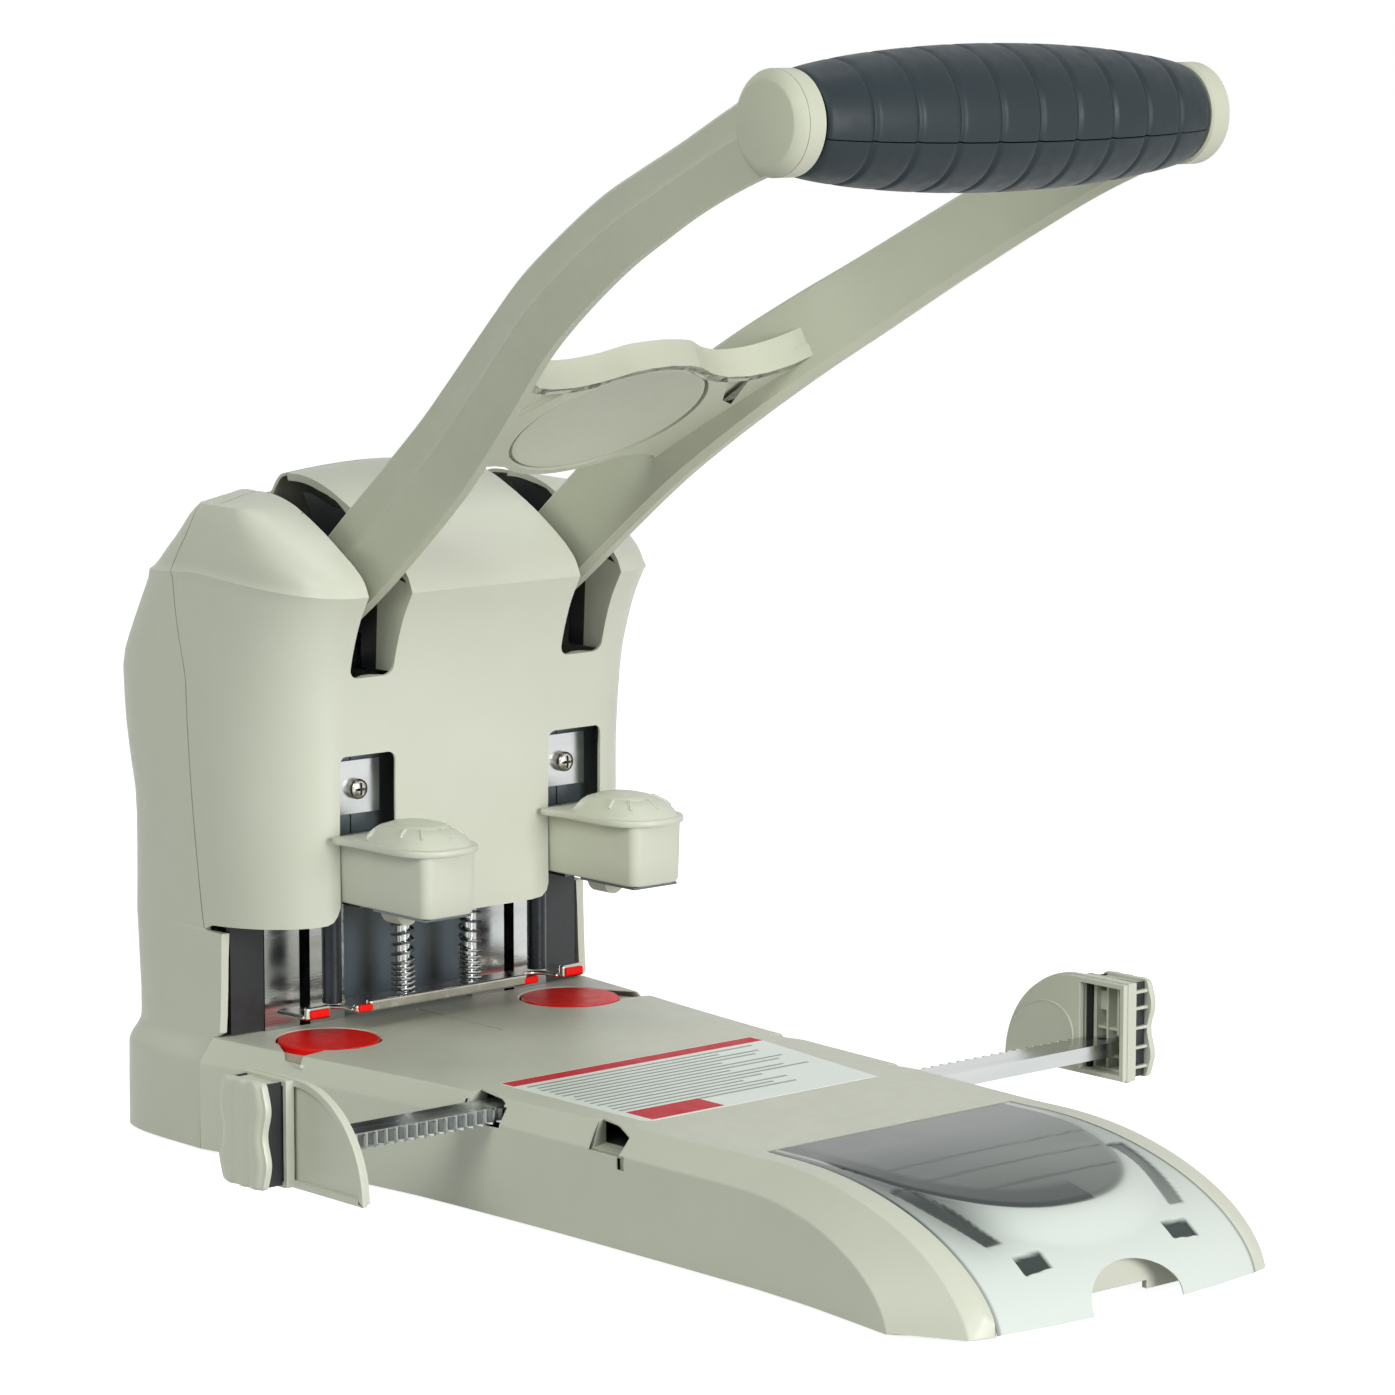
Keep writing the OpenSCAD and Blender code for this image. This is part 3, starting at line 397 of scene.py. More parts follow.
# Level, swing of the half width round TOWER_HALF, front, back and corner fullness of the tower,
# below and above the crease that runs round it
CREASE_Z = 169.6
BELOW = np.array([
    [66, -1, 10, 100, 2], [84, -0.4, 10, 98.6, 2], [100, 0, 10, 98, 2], [112, 0.1, 9.9, 100.4, 2],
    [124, 0, 9.6, 103, 2.1], [134, -0.1, 8.7, 104.2, 2.15], [142, -0.2, 7.7, 104.7, 2.2],
    [150, -0.5, 6.0, 102, 2.3], [160, -0.9, 2.6, 96.3, 2.4], [168.2, -1.3, -1.7, 91.3, 2.5],
    [CREASE_Z, -0.8, -2.5, 90.6, 2.5]])
ABOVE = np.array([
    [CREASE_Z, -0.8, -2.5, 90.6, 2.5], [171, -1.5, -1.9, 88.8, 2.5], [174, -1.9, -0.4, 86, 2.5],
    [177.4, -2, 2.8, 83, 2.5], [181, -2.4, 7.6, 80, 2.5], [187, -3.4, 16.6, 74.6, 2.5],
    [192, -4.7, 26, 70, 2.5], [195, -6, 32.5, 66, 2.5]])
# The rear shell's foot: level, swing of the half width, back; its front lies at FOOT_Y
FOOT = np.array([[1, 6, 96.5], [26.6, 5.6, 96.5], [33.5, 0.5, 96.5], [50, -0.5, 98.2],
                 [68, -0.9, 100]])
FOOT_Y, FOOT_Z = 10, 66
# Seam between front cover and rear shell: height and y; the rear shell keeps SEAM_GAP from it
SEAM_GAP = 0.45
SEAM = np.array([[60, 49.5], [68.3, 51.4], [129, 57], [142, 57.6], [158.5, 63.1],
                 [171.7, 66.8], [190, 60], [210, 57]])
# Columns of the flat front, and which of them bound the throat's windows and the arm slots
FLAT = np.array([0, 8, 16, 23, 27, 28.9, 29.6, 32.3, 35.3, 38.8, 42.2, 45.5, 48.5, 50.4])
WINDOW_COLS, SLOT_COLS, X_FLAT = (6, 13), (7, 12), 50.4
WINDOW_TOP_ROW, SLOT_LOW_ROW = 9, 15
# Top of the walls; the roofs of the outer lobes end sooner and lie lower than the middle one
TOP_Z, LOBE_BACK, LOBE_DROP = 195.0, 7, 1.4


def crest(x):
    """Height of the roof's highest line: 203 in the middle, falling with |x|^1.75."""
    return 203 - 8.5 * (np.abs(x) / 67) ** 1.75


def levels(z):
    """Width, front, back and fullness at the heights z, with a sharp turn at the crease."""
    return [np.where(z <= CREASE_Z, curve(z, BELOW[:, 0], BELOW[:, i]),
                     curve(z, ABOVE[:, 0], ABOVE[:, i])) for i in range(1, 5)]


def seam(z):
    return np.interp(z, SEAM[:, 0], SEAM[:, 1])


def crease_lift(y, z):
    """The crease climbs 4.4 mm along the sides to the seam and sinks a little behind it."""
    along = 4.4 * np.clip((y + 2.5) / 55, 0, 1) - 0.07 * np.clip(y - 55, 0, 40)
    return along * np.clip(1 - np.abs(z - CREASE_Z) / 16, 0, 1)


def outer_lobe(x, z):
    """Share 0..1 of the outer lobes' own roof: beyond the slots and above the crease."""
    return np.clip((np.abs(x) - 40) / 8.5, 0, 1) * np.clip((z - 171) / 12, 0, 1)


def side(y, w, b, m):
    """Half width at y behind the widest line: straight, then round the rear corner on the
    superellipse x^4 + y^4 = 1."""
    xb, d = np.minimum(45, 0.6 * w), 0.92 * (b - m)
    s = np.clip((y - (b - d)) / d, 0, 1)
    return xb + (w - xb) * (1 - s**4) ** 0.25


def fan(corner, start, end, middle, n=5):
    """Fills a rounded inside corner: triangles from the square corner to the quarter ellipse
    about middle that runs from start to end."""
    a = np.linspace(0, np.pi / 2, n + 1)[:, None]
    arc = middle + (start - middle) * np.cos(a) + (end - middle) * np.sin(a)
    verts = np.concatenate([corner[None], arc])
    return verts, [[0, i + 1, i + 2] for i in range(n)]


def roofed(body, xe, share, profile, x0, x1, gap):
    """The walls with their roof: rows run from the top of the walls to x = xe at the seam by
    share, and rise to the crest line by profile, which fades to the sides with the square of
    the way from x0 to x1."""
    ring = body[-1]
    fade = 1 - ((xe - x0) / (x1 - x0)).clip(0, 1) ** 2
    rise = profile * (crest(xe) - TOP_Z) * fade
    ye = seam(TOP_Z + rise[-1]) + gap - LOBE_BACK * outer_lobe(xe, TOP_Z)
    roof = np.stack([ring[:, 0] + (xe - ring[:, 0]) * share,
                     ring[:, 1] + (ye - ring[:, 1]) * share, TOP_Z + rise], -1)
    p = np.concatenate([body, roof])
    p[..., 2] -= LOBE_DROP * outer_lobe(p[..., 0], p[..., 2])
    return p


def front_cover():
    """Cover in front of the seam. Columns run from the middle: flat front at fixed x, then the
    corner (superellipse quarter), then the side as far as the seam. Rows run up the front and,
    above 195 mm, across the roof to the seam, rising to the crest line."""
    z = np.array([66, 71, 77, 84, 92, 100, 108, 114, 118.3, 121, 124, 128, 132, 136, 140, 144.4,
                  147.4, 150, 153, 156, 159, 162, 164.5, 166.5, 168.2, CREASE_Z, 171, 172.4,
                  174, 176, 179, 182, 185, 188, 190.5, 193, TOP_Z])
    w, f, b, e = levels(z)
    w = w + TOWER_HALF
    m, k = (f + b) / 2 - 8, 2 / e
    flat = np.broadcast_to(FLAT, (len(z), len(FLAT)))
    a = np.radians([3, 7, 12, 19, 26, 33, 40, 47, 54, 61, 68, 75, 82.5, 90])
    col = lambda v: v[:, None]
    xc = X_FLAT + (col(w) - X_FLAT) * np.sin(a) ** col(k)
    yc = col(m) - col(m - f) * np.maximum(np.cos(a), 0) ** col(k)
    ys = col(m) + (col(seam(z)) - col(m)) * np.linspace(0, 1, 7)[1:]
    xs = side(ys, col(w), col(b), col(m))
    x = np.concatenate([flat, xc, xs], 1)
    y = np.concatenate([np.broadcast_to(col(f), flat.shape), yc, ys], 1)
    n = x.shape[1]
    zz = np.broadcast_to(col(z), x.shape)
    # lower edge: the middle lobe ends at 69.5, the outer lobes at 71.5 and lower at the sides,
    # with round corners beside the windows
    middle, outer = WINDOW_COLS[0] + 1, WINDOW_COLS[1]
    low = np.concatenate([np.full(middle, 69.5), np.full(outer - middle, 71.5),
                          np.linspace(71.5, 66.4, n - outer)])
    low[middle - 4:middle] += [0.1, 0.6, 2.2, 4.6]
    low[outer:outer + 4] += [4.6, 2.2, 0.7, 0.1]
    zz = np.where(zz < 84, low + (zz - 66) * (84 - low) / 18, zz)
    zz = zz + crease_lift(y, zz)
    body = np.stack([x, y, zz], -1)
    # roof
    t = np.array([0.06, 0.13, 0.2, 0.28, 0.37, 0.46, 0.55, 0.64, 0.73, 0.82, 0.91, 1.0])[:, None]
    ring = body[-1]
    xe = np.where(np.arange(n) < len(FLAT), ring[:, 0], 0)
    xe[len(FLAT):] = np.linspace(X_FLAT, ring[-1, 0], n - len(FLAT) + 1)[1:]
    p = roofed(body, xe, t, 1 - (1 - np.minimum(t / 0.82, 1)) ** 1.8, X_FLAT, ring[-1, 0], 0)
    keep = np.ones((p.shape[0] - 1, n - 1), bool)
    keep[:WINDOW_TOP_ROW, WINDOW_COLS[0]:WINDOW_COLS[1]] = False
    keep[SLOT_LOW_ROW:, SLOT_COLS[0]:SLOT_COLS[1]] = False
    parts = [sheet(p, keep)]
    for (i, j), r, d in ((WINDOW_COLS, WINDOW_TOP_ROW, -1), (SLOT_COLS, SLOT_LOW_ROW, 1)):
        parts += [fan(p[r, i], p[r + d, i], p[r, i + 1], p[r + d, i + 1]),
                  fan(p[r, j], p[r + d, j], p[r, j - 1], p[r + d, j - 1])]
    return both(*parts)


def slot_walls():
    """Cheeks that line both sides of each arm slot, as deep as the wall is thick there, and black
    sheets behind them as far as the roof, which paint the shade inside the slots. Both leave the
    lever's drive bar free."""
    z = np.array([145.2, 152, 160, 165, CREASE_Z, 172, 176, 181, 187, 192])
    front = np.stack([levels(z)[1] + 1.4, z], 1)
    lay = lambda p: p[:, [2, 0, 1]]
    near = np.concatenate([front[:6], [(14, 175), (14.6, 165), (15.6, 145.2)]])
    deep = np.concatenate([front[3:] + [1.5, 0], [(36, 192), (46, 195), (51, 195.4), (44, 184),
                                                  (31, 172), (23, 163), (23, 145.2), (14, 145.2)]])
    return (both(*[placed(prism(near, x, x + 1), lay) for x in (31.2, 48.6)]),
            both(*[placed(prism(deep, x, x + 0.6), lay) for x in (31.35, 48.85)]))


def rear_shell():
    """Shell behind the seam, from the desk up and over to the roof's seam. Columns start at the
    seam and follow the side and the rear corner to the flat back."""
    z = np.array([1, 8, 16, 24, 26.2, 27.4, 29, 31.2, 33, 34.2, 36, 42, 50, 58, 65.9, 66.1, 72, 80,
                  88, 96, 104, 112, 118, 124, 130, 136, 141, 146, 150, 155, 160, 164, 167,
                  CREASE_Z, 171, 173, 176, 180, 184, 188, 191, 193, TOP_Z])
    w, f, b, e = levels(np.maximum(z, FOOT_Z))
    low = z < FOOT_Z
    w = np.where(low, curve(z, FOOT[:, 0], FOOT[:, 1]), w) + TOWER_HALF
    f = np.where(low, FOOT_Y, f)
    b = np.where(low, curve(z, FOOT[:, 0], FOOT[:, 2]), b)
    m = (f + b) / 2 - 8
    d = 0.92 * (b - m)
    start = np.where(low, np.where(z < 35, 45.1, 42.2), seam(z) + SEAM_GAP)
    col = lambda v: v[:, None]
    first = np.arcsin(np.clip((start - (b - d)) / d, 0, 1) ** 2)
    a = col(first) + col(np.pi / 2 - first) * np.linspace(0, 1, 26)
    y = col(b - d) + col(d) * np.sqrt(np.sin(a))
    y[:, 0] = start
    x = side(y, col(w), col(b), col(m))
    across = np.array([36, 28, 20, 12, 6, 0]) / 45
    x = np.concatenate([x, x[:, -1:] * across], 1)
    y = np.concatenate([y, np.repeat(col(b), 6, 1)], 1)
    zz = np.broadcast_to(col(z), x.shape)
    body = np.stack([x, y, zz + crease_lift(y, zz)], -1)
    ring = body[-1]
    s = np.array([0.08, 0.17, 0.27, 0.38, 0.5, 0.62, 0.75, 0.88, 1.0])[:, None]
    xe = ring[:, 0].copy()
    xe[:26] = np.linspace(ring[0, 0], ring[25, 0], 26)
    return both(sheet(roofed(body, xe, s, 1 - (1 - s) ** 2.2, 50, ring[0, 0], SEAM_GAP)))


piece("front_cover_skin", front_cover(), "base", BEIGE, replaces="front_cover",
      inside=(0, 50, 120), wall=WALL, bevel=0.4, sharp=28, angle=28)
slot_near, slot_shade_sheets = slot_walls()
piece("arm_slot_cheeks", slot_near, "base", BEIGE)
# Black sheets deep in the arm slots: painted shade
piece("arm_slot_painted_shade", slot_shade_sheets, "base", "black_panel")
piece("rear_shell_skin", rear_shell(), "base", BEIGE, replaces="rear_shell",
      inside=(0, 50, 100), wall=WALL, bevel=0.4, sharp=28,
      cuts=[both(prism([(32.3, 40), (48.5, 40), (48.5, 67), (32.3, 67)], 185, 215))])

# ---- base ----

# Half width of the base where it meets the desk and along its top edge: y and width
FOOT_W = np.array([[-242, 66.8], [-226, 64.8], [-204, 62.5], [-180, 61.5], [-122, 62], [-49, 64.6],
                   [-24, 67.4], [34, 75.3], [45, 77.6]])
TOP_W = np.array([[-265, 46], [-262.2, 56.6], [-250, 56.3], [-235, 55.5], [-215, 54.6], [-180, 53],
                  [-155, 54.3], [-115, 56.7], [-60, 60.2], [-18, 64.7], [7, 68], [45, 72.5]])


def arch(y, start, length, high):
    """Height of the front arch: full height behind start, then high * (1 - s^2)^0.56."""
    s = np.clip((start - y) / length, 0, 1)
    return high * (1 - s * s) ** 0.56


def rounded(points, radii):
    """Each inner corner of a row of 2-D outlines (..., n, 2) swapped for four points of the
    quadratic curve that leaves and meets its sides a radius away."""
    out = [points[..., :1, :]]
    for i, r in enumerate(radii, 1):
        c = points[..., i, :]
        a, b = points[..., i - 1, :] - c, points[..., i + 1, :] - c
        la, lb = (np.linalg.norm(v, axis=-1, keepdims=True) for v in (a, b))
        reach = np.minimum(r, 0.45 * np.minimum(la, lb))
        a, b = c + a / la * reach, c + b / lb * reach
        t = np.linspace(0, 1, 4)[:, None]
        out.append((1 - t)**2 * a[..., None, :] + 2 * t * (1 - t) * c[..., None, :]
                   + t**2 * b[..., None, :])
    return np.concatenate([*out, points[..., -1:, :]], -2)


def bay_half(y):
    """Half width of the tray bay at the stations y."""
    return 46.6 + 2.8 * (BAY_Y - y).clip(0) / 92


def base_section(y):
    """Half sections of the base at the stations y: middle, bay edge, top edge, chamfer, desk. The
    chamfer's lower edge comes down to the desk 20 mm behind the upper one, so it lags in y."""
    low = np.maximum(np.where(y < -176, -176 + (y + 176) * 66 / 86.2, y), -242)
    zl = np.maximum(1.6, arch(y, ARCH_Y, ARCH_LEN, BASE_H))
    zt = np.maximum(1.5, arch(y, ARCH_Y, 76.2, BASE_H))
    zc = np.maximum(1.4, arch(low, -176, 66, BASE_H - 6.8))
    w = curve(low, FOOT_W[:, 0], FOOT_W[:, 1])
    wt = curve(y, TOP_W[:, 0], TOP_W[:, 1])
    wl = np.minimum(bay_half(y) + 1.8, wt - 1)
    pts = np.stack([np.stack(p, -1) for p in (
        (0 * y, y, zl), (wl, y, zl), (wt, y, zt), (w, low, zc), (w, low, 0 * y + 1))], -2)
    return rounded(pts, [1.2, 0.6, 0.6])


def base_shell():
    """Base moulding: half sections carried along Y, closed by its own front section."""
    y = np.concatenate([[-264.8, -264.2, -263.2, -262.2, -261.4, -260.4],
                        np.arange(-259, -176, 2.0), np.arange(-176, 45, 11.0), [44.75]])
    p = base_section(y)
    nose = np.stack([p[0], p[0] * [1, 1, 0] + [0, 0, 1]])
    return both(sheet(p), sheet(nose))


def bay_walls():
    """Walls round the tray, just under the arch: a thin band carried along three sides."""
    y = np.linspace(-262, BAY_Y, 40)
    x = bay_half(y)
    top = np.maximum(2.4, arch(y, ARCH_Y, ARCH_LEN, BASE_H) - 0.3)
    side_wall = np.stack([np.stack([x + d, y, z], -1) for d, z in
                          ((0.1, 2 + 0 * y), (1.8, 2 + 0 * y), (1.8, top), (0.1, top))], 1)
    return both(skin(side_wall)) + [box((-46.5, BAY_Y, 2), (46.5, BAY_Y + 1.6, BASE_H - 0.3))]


bay = [(-46.6, BAY_Y), (-49.45, -290), (49.45, -290), (46.6, BAY_Y)]
DISC_AT = [HX + 7.2, PIN_Y - 7.7, BASE_H]
well = placed(lathe([(0.01, -10), (15.9, -10), (15.9, -0.6), (16.5, 0.1), (16.5, 9), (0.01, 9)]),
              lambda p: p + DISC_AT)
THUMB_LOW = BASE_H - 2.1
thumb = prism([(56, 29), (60.5, 29.3), (74.0, 4.6), (71.5, 5.2), (66, 6.6), (57, 8.6)],
              THUMB_LOW, 60)
# Channels that the racks run in, and the ledge that their inner ends pass over
CHANNEL_Y, CHANNEL_Z, LEDGE_Z = ((-35.4, -18), (18, 35.4)), (26.6, 32.2), 27.1
# Open notches over the channels: side, y of the rear end, height of the floor
NOTCHES = [(-1, -114, LEDGE_Z), (1, -61.1, LEDGE_Z), (-1, -62.1, 31.9), (1, -115.4, 31.9)]


def notch_plan(side, rear):
    """Plan of an open notch: its rear end is slanted and its back runs out to the top edge at the
    front end; the rear pair lies a little further out, as the base is wider there."""
    out = 1.8 if rear > -100 else 0
    return [(side * (x + out), rear + y) for x, y in
            ((53.7, 0), (57.6, -15.8), (90, -15.8), (90, -13.1), (62, -3))]


def notch_cuts():
    """Mouths of the racks, open notches above them and the small slots at the front ends of the
    two empty ones: one list of closed parts for each."""
    low, high = CHANNEL_Z
    (near_a, near_b), (far_a, far_b) = CHANNEL_Y
    mouths = [box((-90, GUIDE_Y + far_a, low), (-50, GUIDE_Y + far_b, high)),
              box((50, GUIDE_Y + near_a, low), (90, GUIDE_Y + near_b, high))]
    notches = [prism(notch_plan(side, rear), floor, 40) for side, rear, floor in NOTCHES]
    slots = [box((-90, -131.9, 23.5), (-59.7, -128.8, 27.5)),
             box((62.5, -77.9, 23.5), (90, -74.8, 27.5))]
    return [mouths, notches, slots]


def notch_walls():
    """Slanted rear wall of each notch, cut off along the chamfer; ledge in each empty one and the
    plate behind its small slot."""
    parts = []
    for side, rear, floor in NOTCHES:
        out = 3.4 if rear > -100 else 0
        foot = min(61.2 - 0.9 * (floor - 28.8), 60.3) + out
        face = [(52.5, floor - 1), (foot, floor - 1), (56.2 + out, 33.9), (52.5, 33.9)]
        wall = placed(prism(face, 0, 1.4), lambda p, s=side, r=rear, o=out: np.stack(
            [s * p[:, 0], r + p[:, 2] - 0.36 * (p[:, 0] - 53.7 - o / 2), p[:, 1]], 1))
        parts.append(wall)
    return parts + [box((-59.8, -131.5, LEDGE_Z - 1), (-52.5, -113, LEDGE_Z)),
                    box((54.5, -78, LEDGE_Z - 1), (62.6, -60.2, LEDGE_Z)),
                    box((-59.6, -133, 22.9), (-58.8, -127.8, LEDGE_Z)),
                    box((61.6, -79, 22.9), (62.3, -73.8, LEDGE_Z))]


# Floor of the small scoop beside each disc, where a thumb turns it
thumb_floor = prism([(55, 30), (61.4, 30), (69.4, 14), (70.2, 4.4), (66, 5), (56, 7)],
                    THUMB_LOW - 1, THUMB_LOW)
# Room for the holders and springs below the tower
cheeks = both(box((HX - 15.2, 41.8, 20), (HX + 15.2, 60, 50)))
piece("base_shell_skin", base_shell(), "base", BEIGE, replaces="base_housing",
      inside=(0, -100, 5), wall=2, bevel=0, sharp=24, flat=True,
      cuts=[[prism(bay, -5, 60)], both(well), both(thumb), *notch_cuts(), cheeks,
            [box((-0.35, -4, BASE_H - 0.5), (0.35, 38, 50))]])
piece("base_thumb_floors", both(thumb_floor), "base", BEIGE)
piece("base_notch_walls", notch_walls(), "base", BEIGE)
piece("base_bay_walls", bay_walls() + [box((-49, -257.6, 4.4), (14.5, -255.6, 13.6)),
                                       box((14.5, -257.6, 2), (49, -255.6, 13.6))], "base",
      BEIGE, bevel=0.3)

# Plain paper label: pale sheet with a red band along its rear edge, a red field and grey rules
(left, right), (near, far) = (-48, 49.5), (-125.5, -60.6)


def on_top(x0, y0, x1, y1, rise):
    """Thin flat sheet on the work surface."""
    return box((x0, y0, BASE_H - 0.02), (x1, y1, BASE_H + rise))


corner_cut = [(left, near + 3), (left + 3, near), (right - 9, near), (right - 9, near + 1),
              (right, far - 1), (right - 1, far), (left + 1, far), (left, far - 1)]
piece("label_sheet", [prism(corner_cut, BASE_H - 0.02, BASE_H + 0.08)], "base", BEIGE,
      mat="label_white")
piece("label_red_fields", [on_top(left + 0.6, far - 6.2, right - 0.8, far - 0.6, 0.13),
                           on_top(left + 3.2, near + 1, left + 30, near + 12.5, 0.13)],
      "base", BEIGE, mat="label_red")
rule_y = far - 10 - 3.1 * np.arange(15)
rule_x = left + 3 + np.array([0, 1.2, 0, 0.6, 0, 0, 1.8, 0, 0.4, 0, 0, 1.2, 0, 0, 0.6])
rule_end = right - 6 - np.array([2, 18, 5, 9, 25, 4, 8, 30, 12, 5, 26, 36, 22, 30, 24])
piece("label_rules", [on_top(a, y, b, y + 1.15, 0.11) for a, b, y in zip(rule_x, rule_end, rule_y)],
      "base", BEIGE, mat="label_grey")

# ---- lid and tray ----


def smooth(a, b, x):
    """0 below a, 1 above b, and 3t^2 - 2t^3 between."""
    t = np.clip((x - a) / (b - a), 0, 1)
    return t * t * (3 - 2 * t)


def lid_surface(u, v):
    """Point of the lid: u across, v along the arch; the bow carries the profile forward. A flat
    tongue runs on from the flat back and ends in a rounded drop above the arch."""
    hinge_y, bow, quarter = BAY_Y - 1.4, 4, np.pi / 2 * v.clip(0)
    y = np.where(v < 0, ARCH_Y + (ARCH_Y - hinge_y - bow) * v, ARCH_Y - ARCH_LEN * np.sin(quarter))
    z = np.where(v < 0, BASE_H, BASE_H * np.cos(quarter) ** 1.12)
    y = np.minimum(y - bow * (1 - u * u), hinge_y)
    x = u * (46.3 + 2.8 * (BAY_Y - y) / 92)
    shape = tongue(x, y)
    drop = (ARCH_Y - y).clip(0)
    level = np.maximum(BASE_H - 0.0021 * drop**2 - 0.00045 * x**2, z)
    z = z + (level - z) * (1 - smooth(1.0, 1.17, shape))
    groove = np.exp(-((shape - 0.985) / 0.014) ** 2) * smooth(4, 14, drop)
    pocket = band(x, y)
    hatch = window(x, y)
    # shade: the tongue, with painted shade darker to its left and towards its front end; painted
    # shade over the rear of the surround, in the grooves (heaviest on the left), in the two bands
    # and the two catch windows, along the tongue's left border and to the left of the tongue; three
    # steps of the tray seen through the tongue; painted shade along the outer edges, in the gap by
    # the rim
    rear = 1 - smooth(18, 74, drop)
    inner = 0.84 - 0.05 * np.tanh(x / 20) + 0.06 * smooth(30, 58, drop)
    shade = (inner * (1 - smooth(0.96, 1.0, shape))
             + 0.62 * rear * smooth(0.98, 1.02, shape) * (0.85 - 0.15 * np.tanh(x / 10))
             + np.where(x < 6, 0.9, 0.4) * groove + 0.7 * pocket + hatch
             + 0.35 * (1 - smooth(0.93, 1.0, shape)) * smooth(0.78, 0.97, shape) * (x < 6)
             + 0.45 * np.exp(-((x + 37) / 9) ** 2) * (shape > 1) * (1 - smooth(52, 72, drop))
             + sum(0.22 * np.exp(-((drop - at) / 0.5) ** 2) * (shape < 0.96) for at in (22, 33, 45))
             + 0.6 * smooth(0.97, 0.992, np.abs(u))).clip(0, 1)
    z = z - 0.45 * groove - 0.5 * pocket - 0.9 * hatch
    return np.stack([x, y, z], -1), shade


def tongue(x, y):
    """Superellipse measure of the tongue's outline: 1 on its edge, less inside."""
    return ((np.abs(x) / 44) ** 2.3 + ((ARCH_Y - y).clip(0) / 61) ** 2.3) ** (1 / 2.3)


def band(x, y):
    """1 inside the two curved bands beside the tongue."""
    mid = 41.5 - 0.005 * (-212 - y).clip(0) ** 2
    return ((1 - smooth(2.6, 3.2, np.abs(np.abs(x) - mid))) * smooth(-249.4, -248.6, y)
            * (1 - smooth(-219.4, -218.6, y)))


def window(x, y):
    """1 inside the two small catch windows near the front."""
    return ((1 - smooth(4.6, 5.2, np.abs(np.abs(x) - 28))) * smooth(-259.2, -258.6, y)
            * (1 - smooth(-254.4, -253.8, y)))


u, v = np.meshgrid(np.linspace(-1, 1, 151),
                   np.concatenate([np.linspace(-1, -0.1, 8), np.linspace(0, 0.945, 112)]),
                   indexing="ij")
surface, shade = lid_surface(u, v)
arch_cut = [(17 * np.cos(a), 4 + 9.4 * np.sin(a)) for a in np.linspace(0, np.pi, 25)]
finger = placed(prism([(17, -4), *arch_cut, (-17, -4)], 240, 290), along_y((0, 0)))
# The lid's painted shade rides in the attribute shade
piece("lid_skin", [sheet(surface)], "lid", "smoky_lid", replaces="tray_lid",
      inside=(0, -200, 0), wall=1.9, cuts=[[finger]], sharp=40, shade=shade)

# ---- lever ----

# Stations of an arm: y, z, x beyond HX, change of thickness, depth
ARM_T = 7.2
ARM = np.array([
    [50, 150, 0, 0, 26], [30, 165, 0, 0, 25], [10.7, 180, 0, 0, 27], [-9, 195.5, 0.6, -0.2, 27.5],
    [-29.2, 211, 2.4, -0.4, 27.3], [-45.5, 223, 6, -0.5, 26.8], [-61.9, 234.5, 10.7, -0.6, 26],
    [-80, 246.5, 16.8, -0.9, 24.7], [-98.2, 257.8, 23, -1, 23.4], [-119, 270, 27.6, -1.4, 22.3],
    [-140, 281.5, 31, -1.7, 21.5], [-156, 289.2, 32.3, -2, 20.5], [-172.5, 296.8, 33.3, -2.2, 19.6],
    [-190, 304.5, 34.0, -1.8, 20.4], [-209, 312.2, 34.4, -1.4, 22.5]])


def arm():
    """Arm: a rounded section carried along the smooth line through the stations. Its outer face
    has a soft ridge a little below the middle."""
    s = through(ARM, 90)
    d = np.gradient(s[:, :2], axis=0)
    d /= np.linalg.norm(d, axis=1)[:, None]
    h, w = (ARM_T + s[:, 3]) / 2, s[:, 4] / 2
    one = np.ones_like(h)
    r, q = 1.1, 1.9
    # section: x offset, depth offset, positive depth towards the lower edge
    pts = np.stack([np.stack(c, -1) for c in [
        (h - 0.6, 0.3 * w), (h + 0.8, 0.1 * w), (h + 0.1, -0.12 * w), (h - 1.1, q - w),
        (h - q, -w + 0.25), (q - h, -w), (-h, q - w), (-h, 0 * one), (-h, w - r),
        (r - h, w), (h - 0.9 - r, w), (h - 0.9, w - r)]], 1)
    x = HX + s[:, 2:3] + pts[..., 0]
    n = np.stack([d[:, 1], -d[:, 0]], 1)
    yz = s[:, None, :2] + pts[..., 1:] * n[:, None]
    return skin(np.concatenate([x[..., None], yz], -1))


WEB_AT, WEB_SLOPE = (-53.8, 222.0), np.radians(31.6)


def web_frame(p):
    """From the web's plane (x across, v forward up the slope, w above) to the object."""
    c, s = np.cos(WEB_SLOPE), np.sin(WEB_SLOPE)
    return np.stack([p[:, 0], WEB_AT[0] - c * p[:, 1] + s * p[:, 2],
                     WEB_AT[1] + s * p[:, 1] + c * p[:, 2]], 1)


def ring_points(r, a0, a1, n):
    """n points on a circle about the middle, from one angle to the other."""
    a = np.radians(np.linspace(a0, a1, n))
    return np.stack([r * np.cos(a), r * np.sin(a)], 1)


# Half of the lip's line and half of the web's outline, in the web's plane
LIP = np.array([(0, 33.3), (7, 32.6), (12, 31.4), (16, 28.9), (21, 26.0), (28.7, 23.5), (37, 23.2),
                (43.6, 25), (49.7, 29.2), (54.5, 35.8), (58.2, 43.5), (61.3, 52.5), (64.4, 61)])
half_web = np.concatenate([ring_points(33.6, -90, -52, 7), [(25, -25.4), (31, -25.2), (37, -26.8),
                          (41.2, -32), (44, -30), (47.5, -6), (52.5, 14), (59, 38)],
                           LIP[::-1][2:]])
web_outline = np.concatenate([half_web, half_web[-2:0:-1] * [-1, 1]])


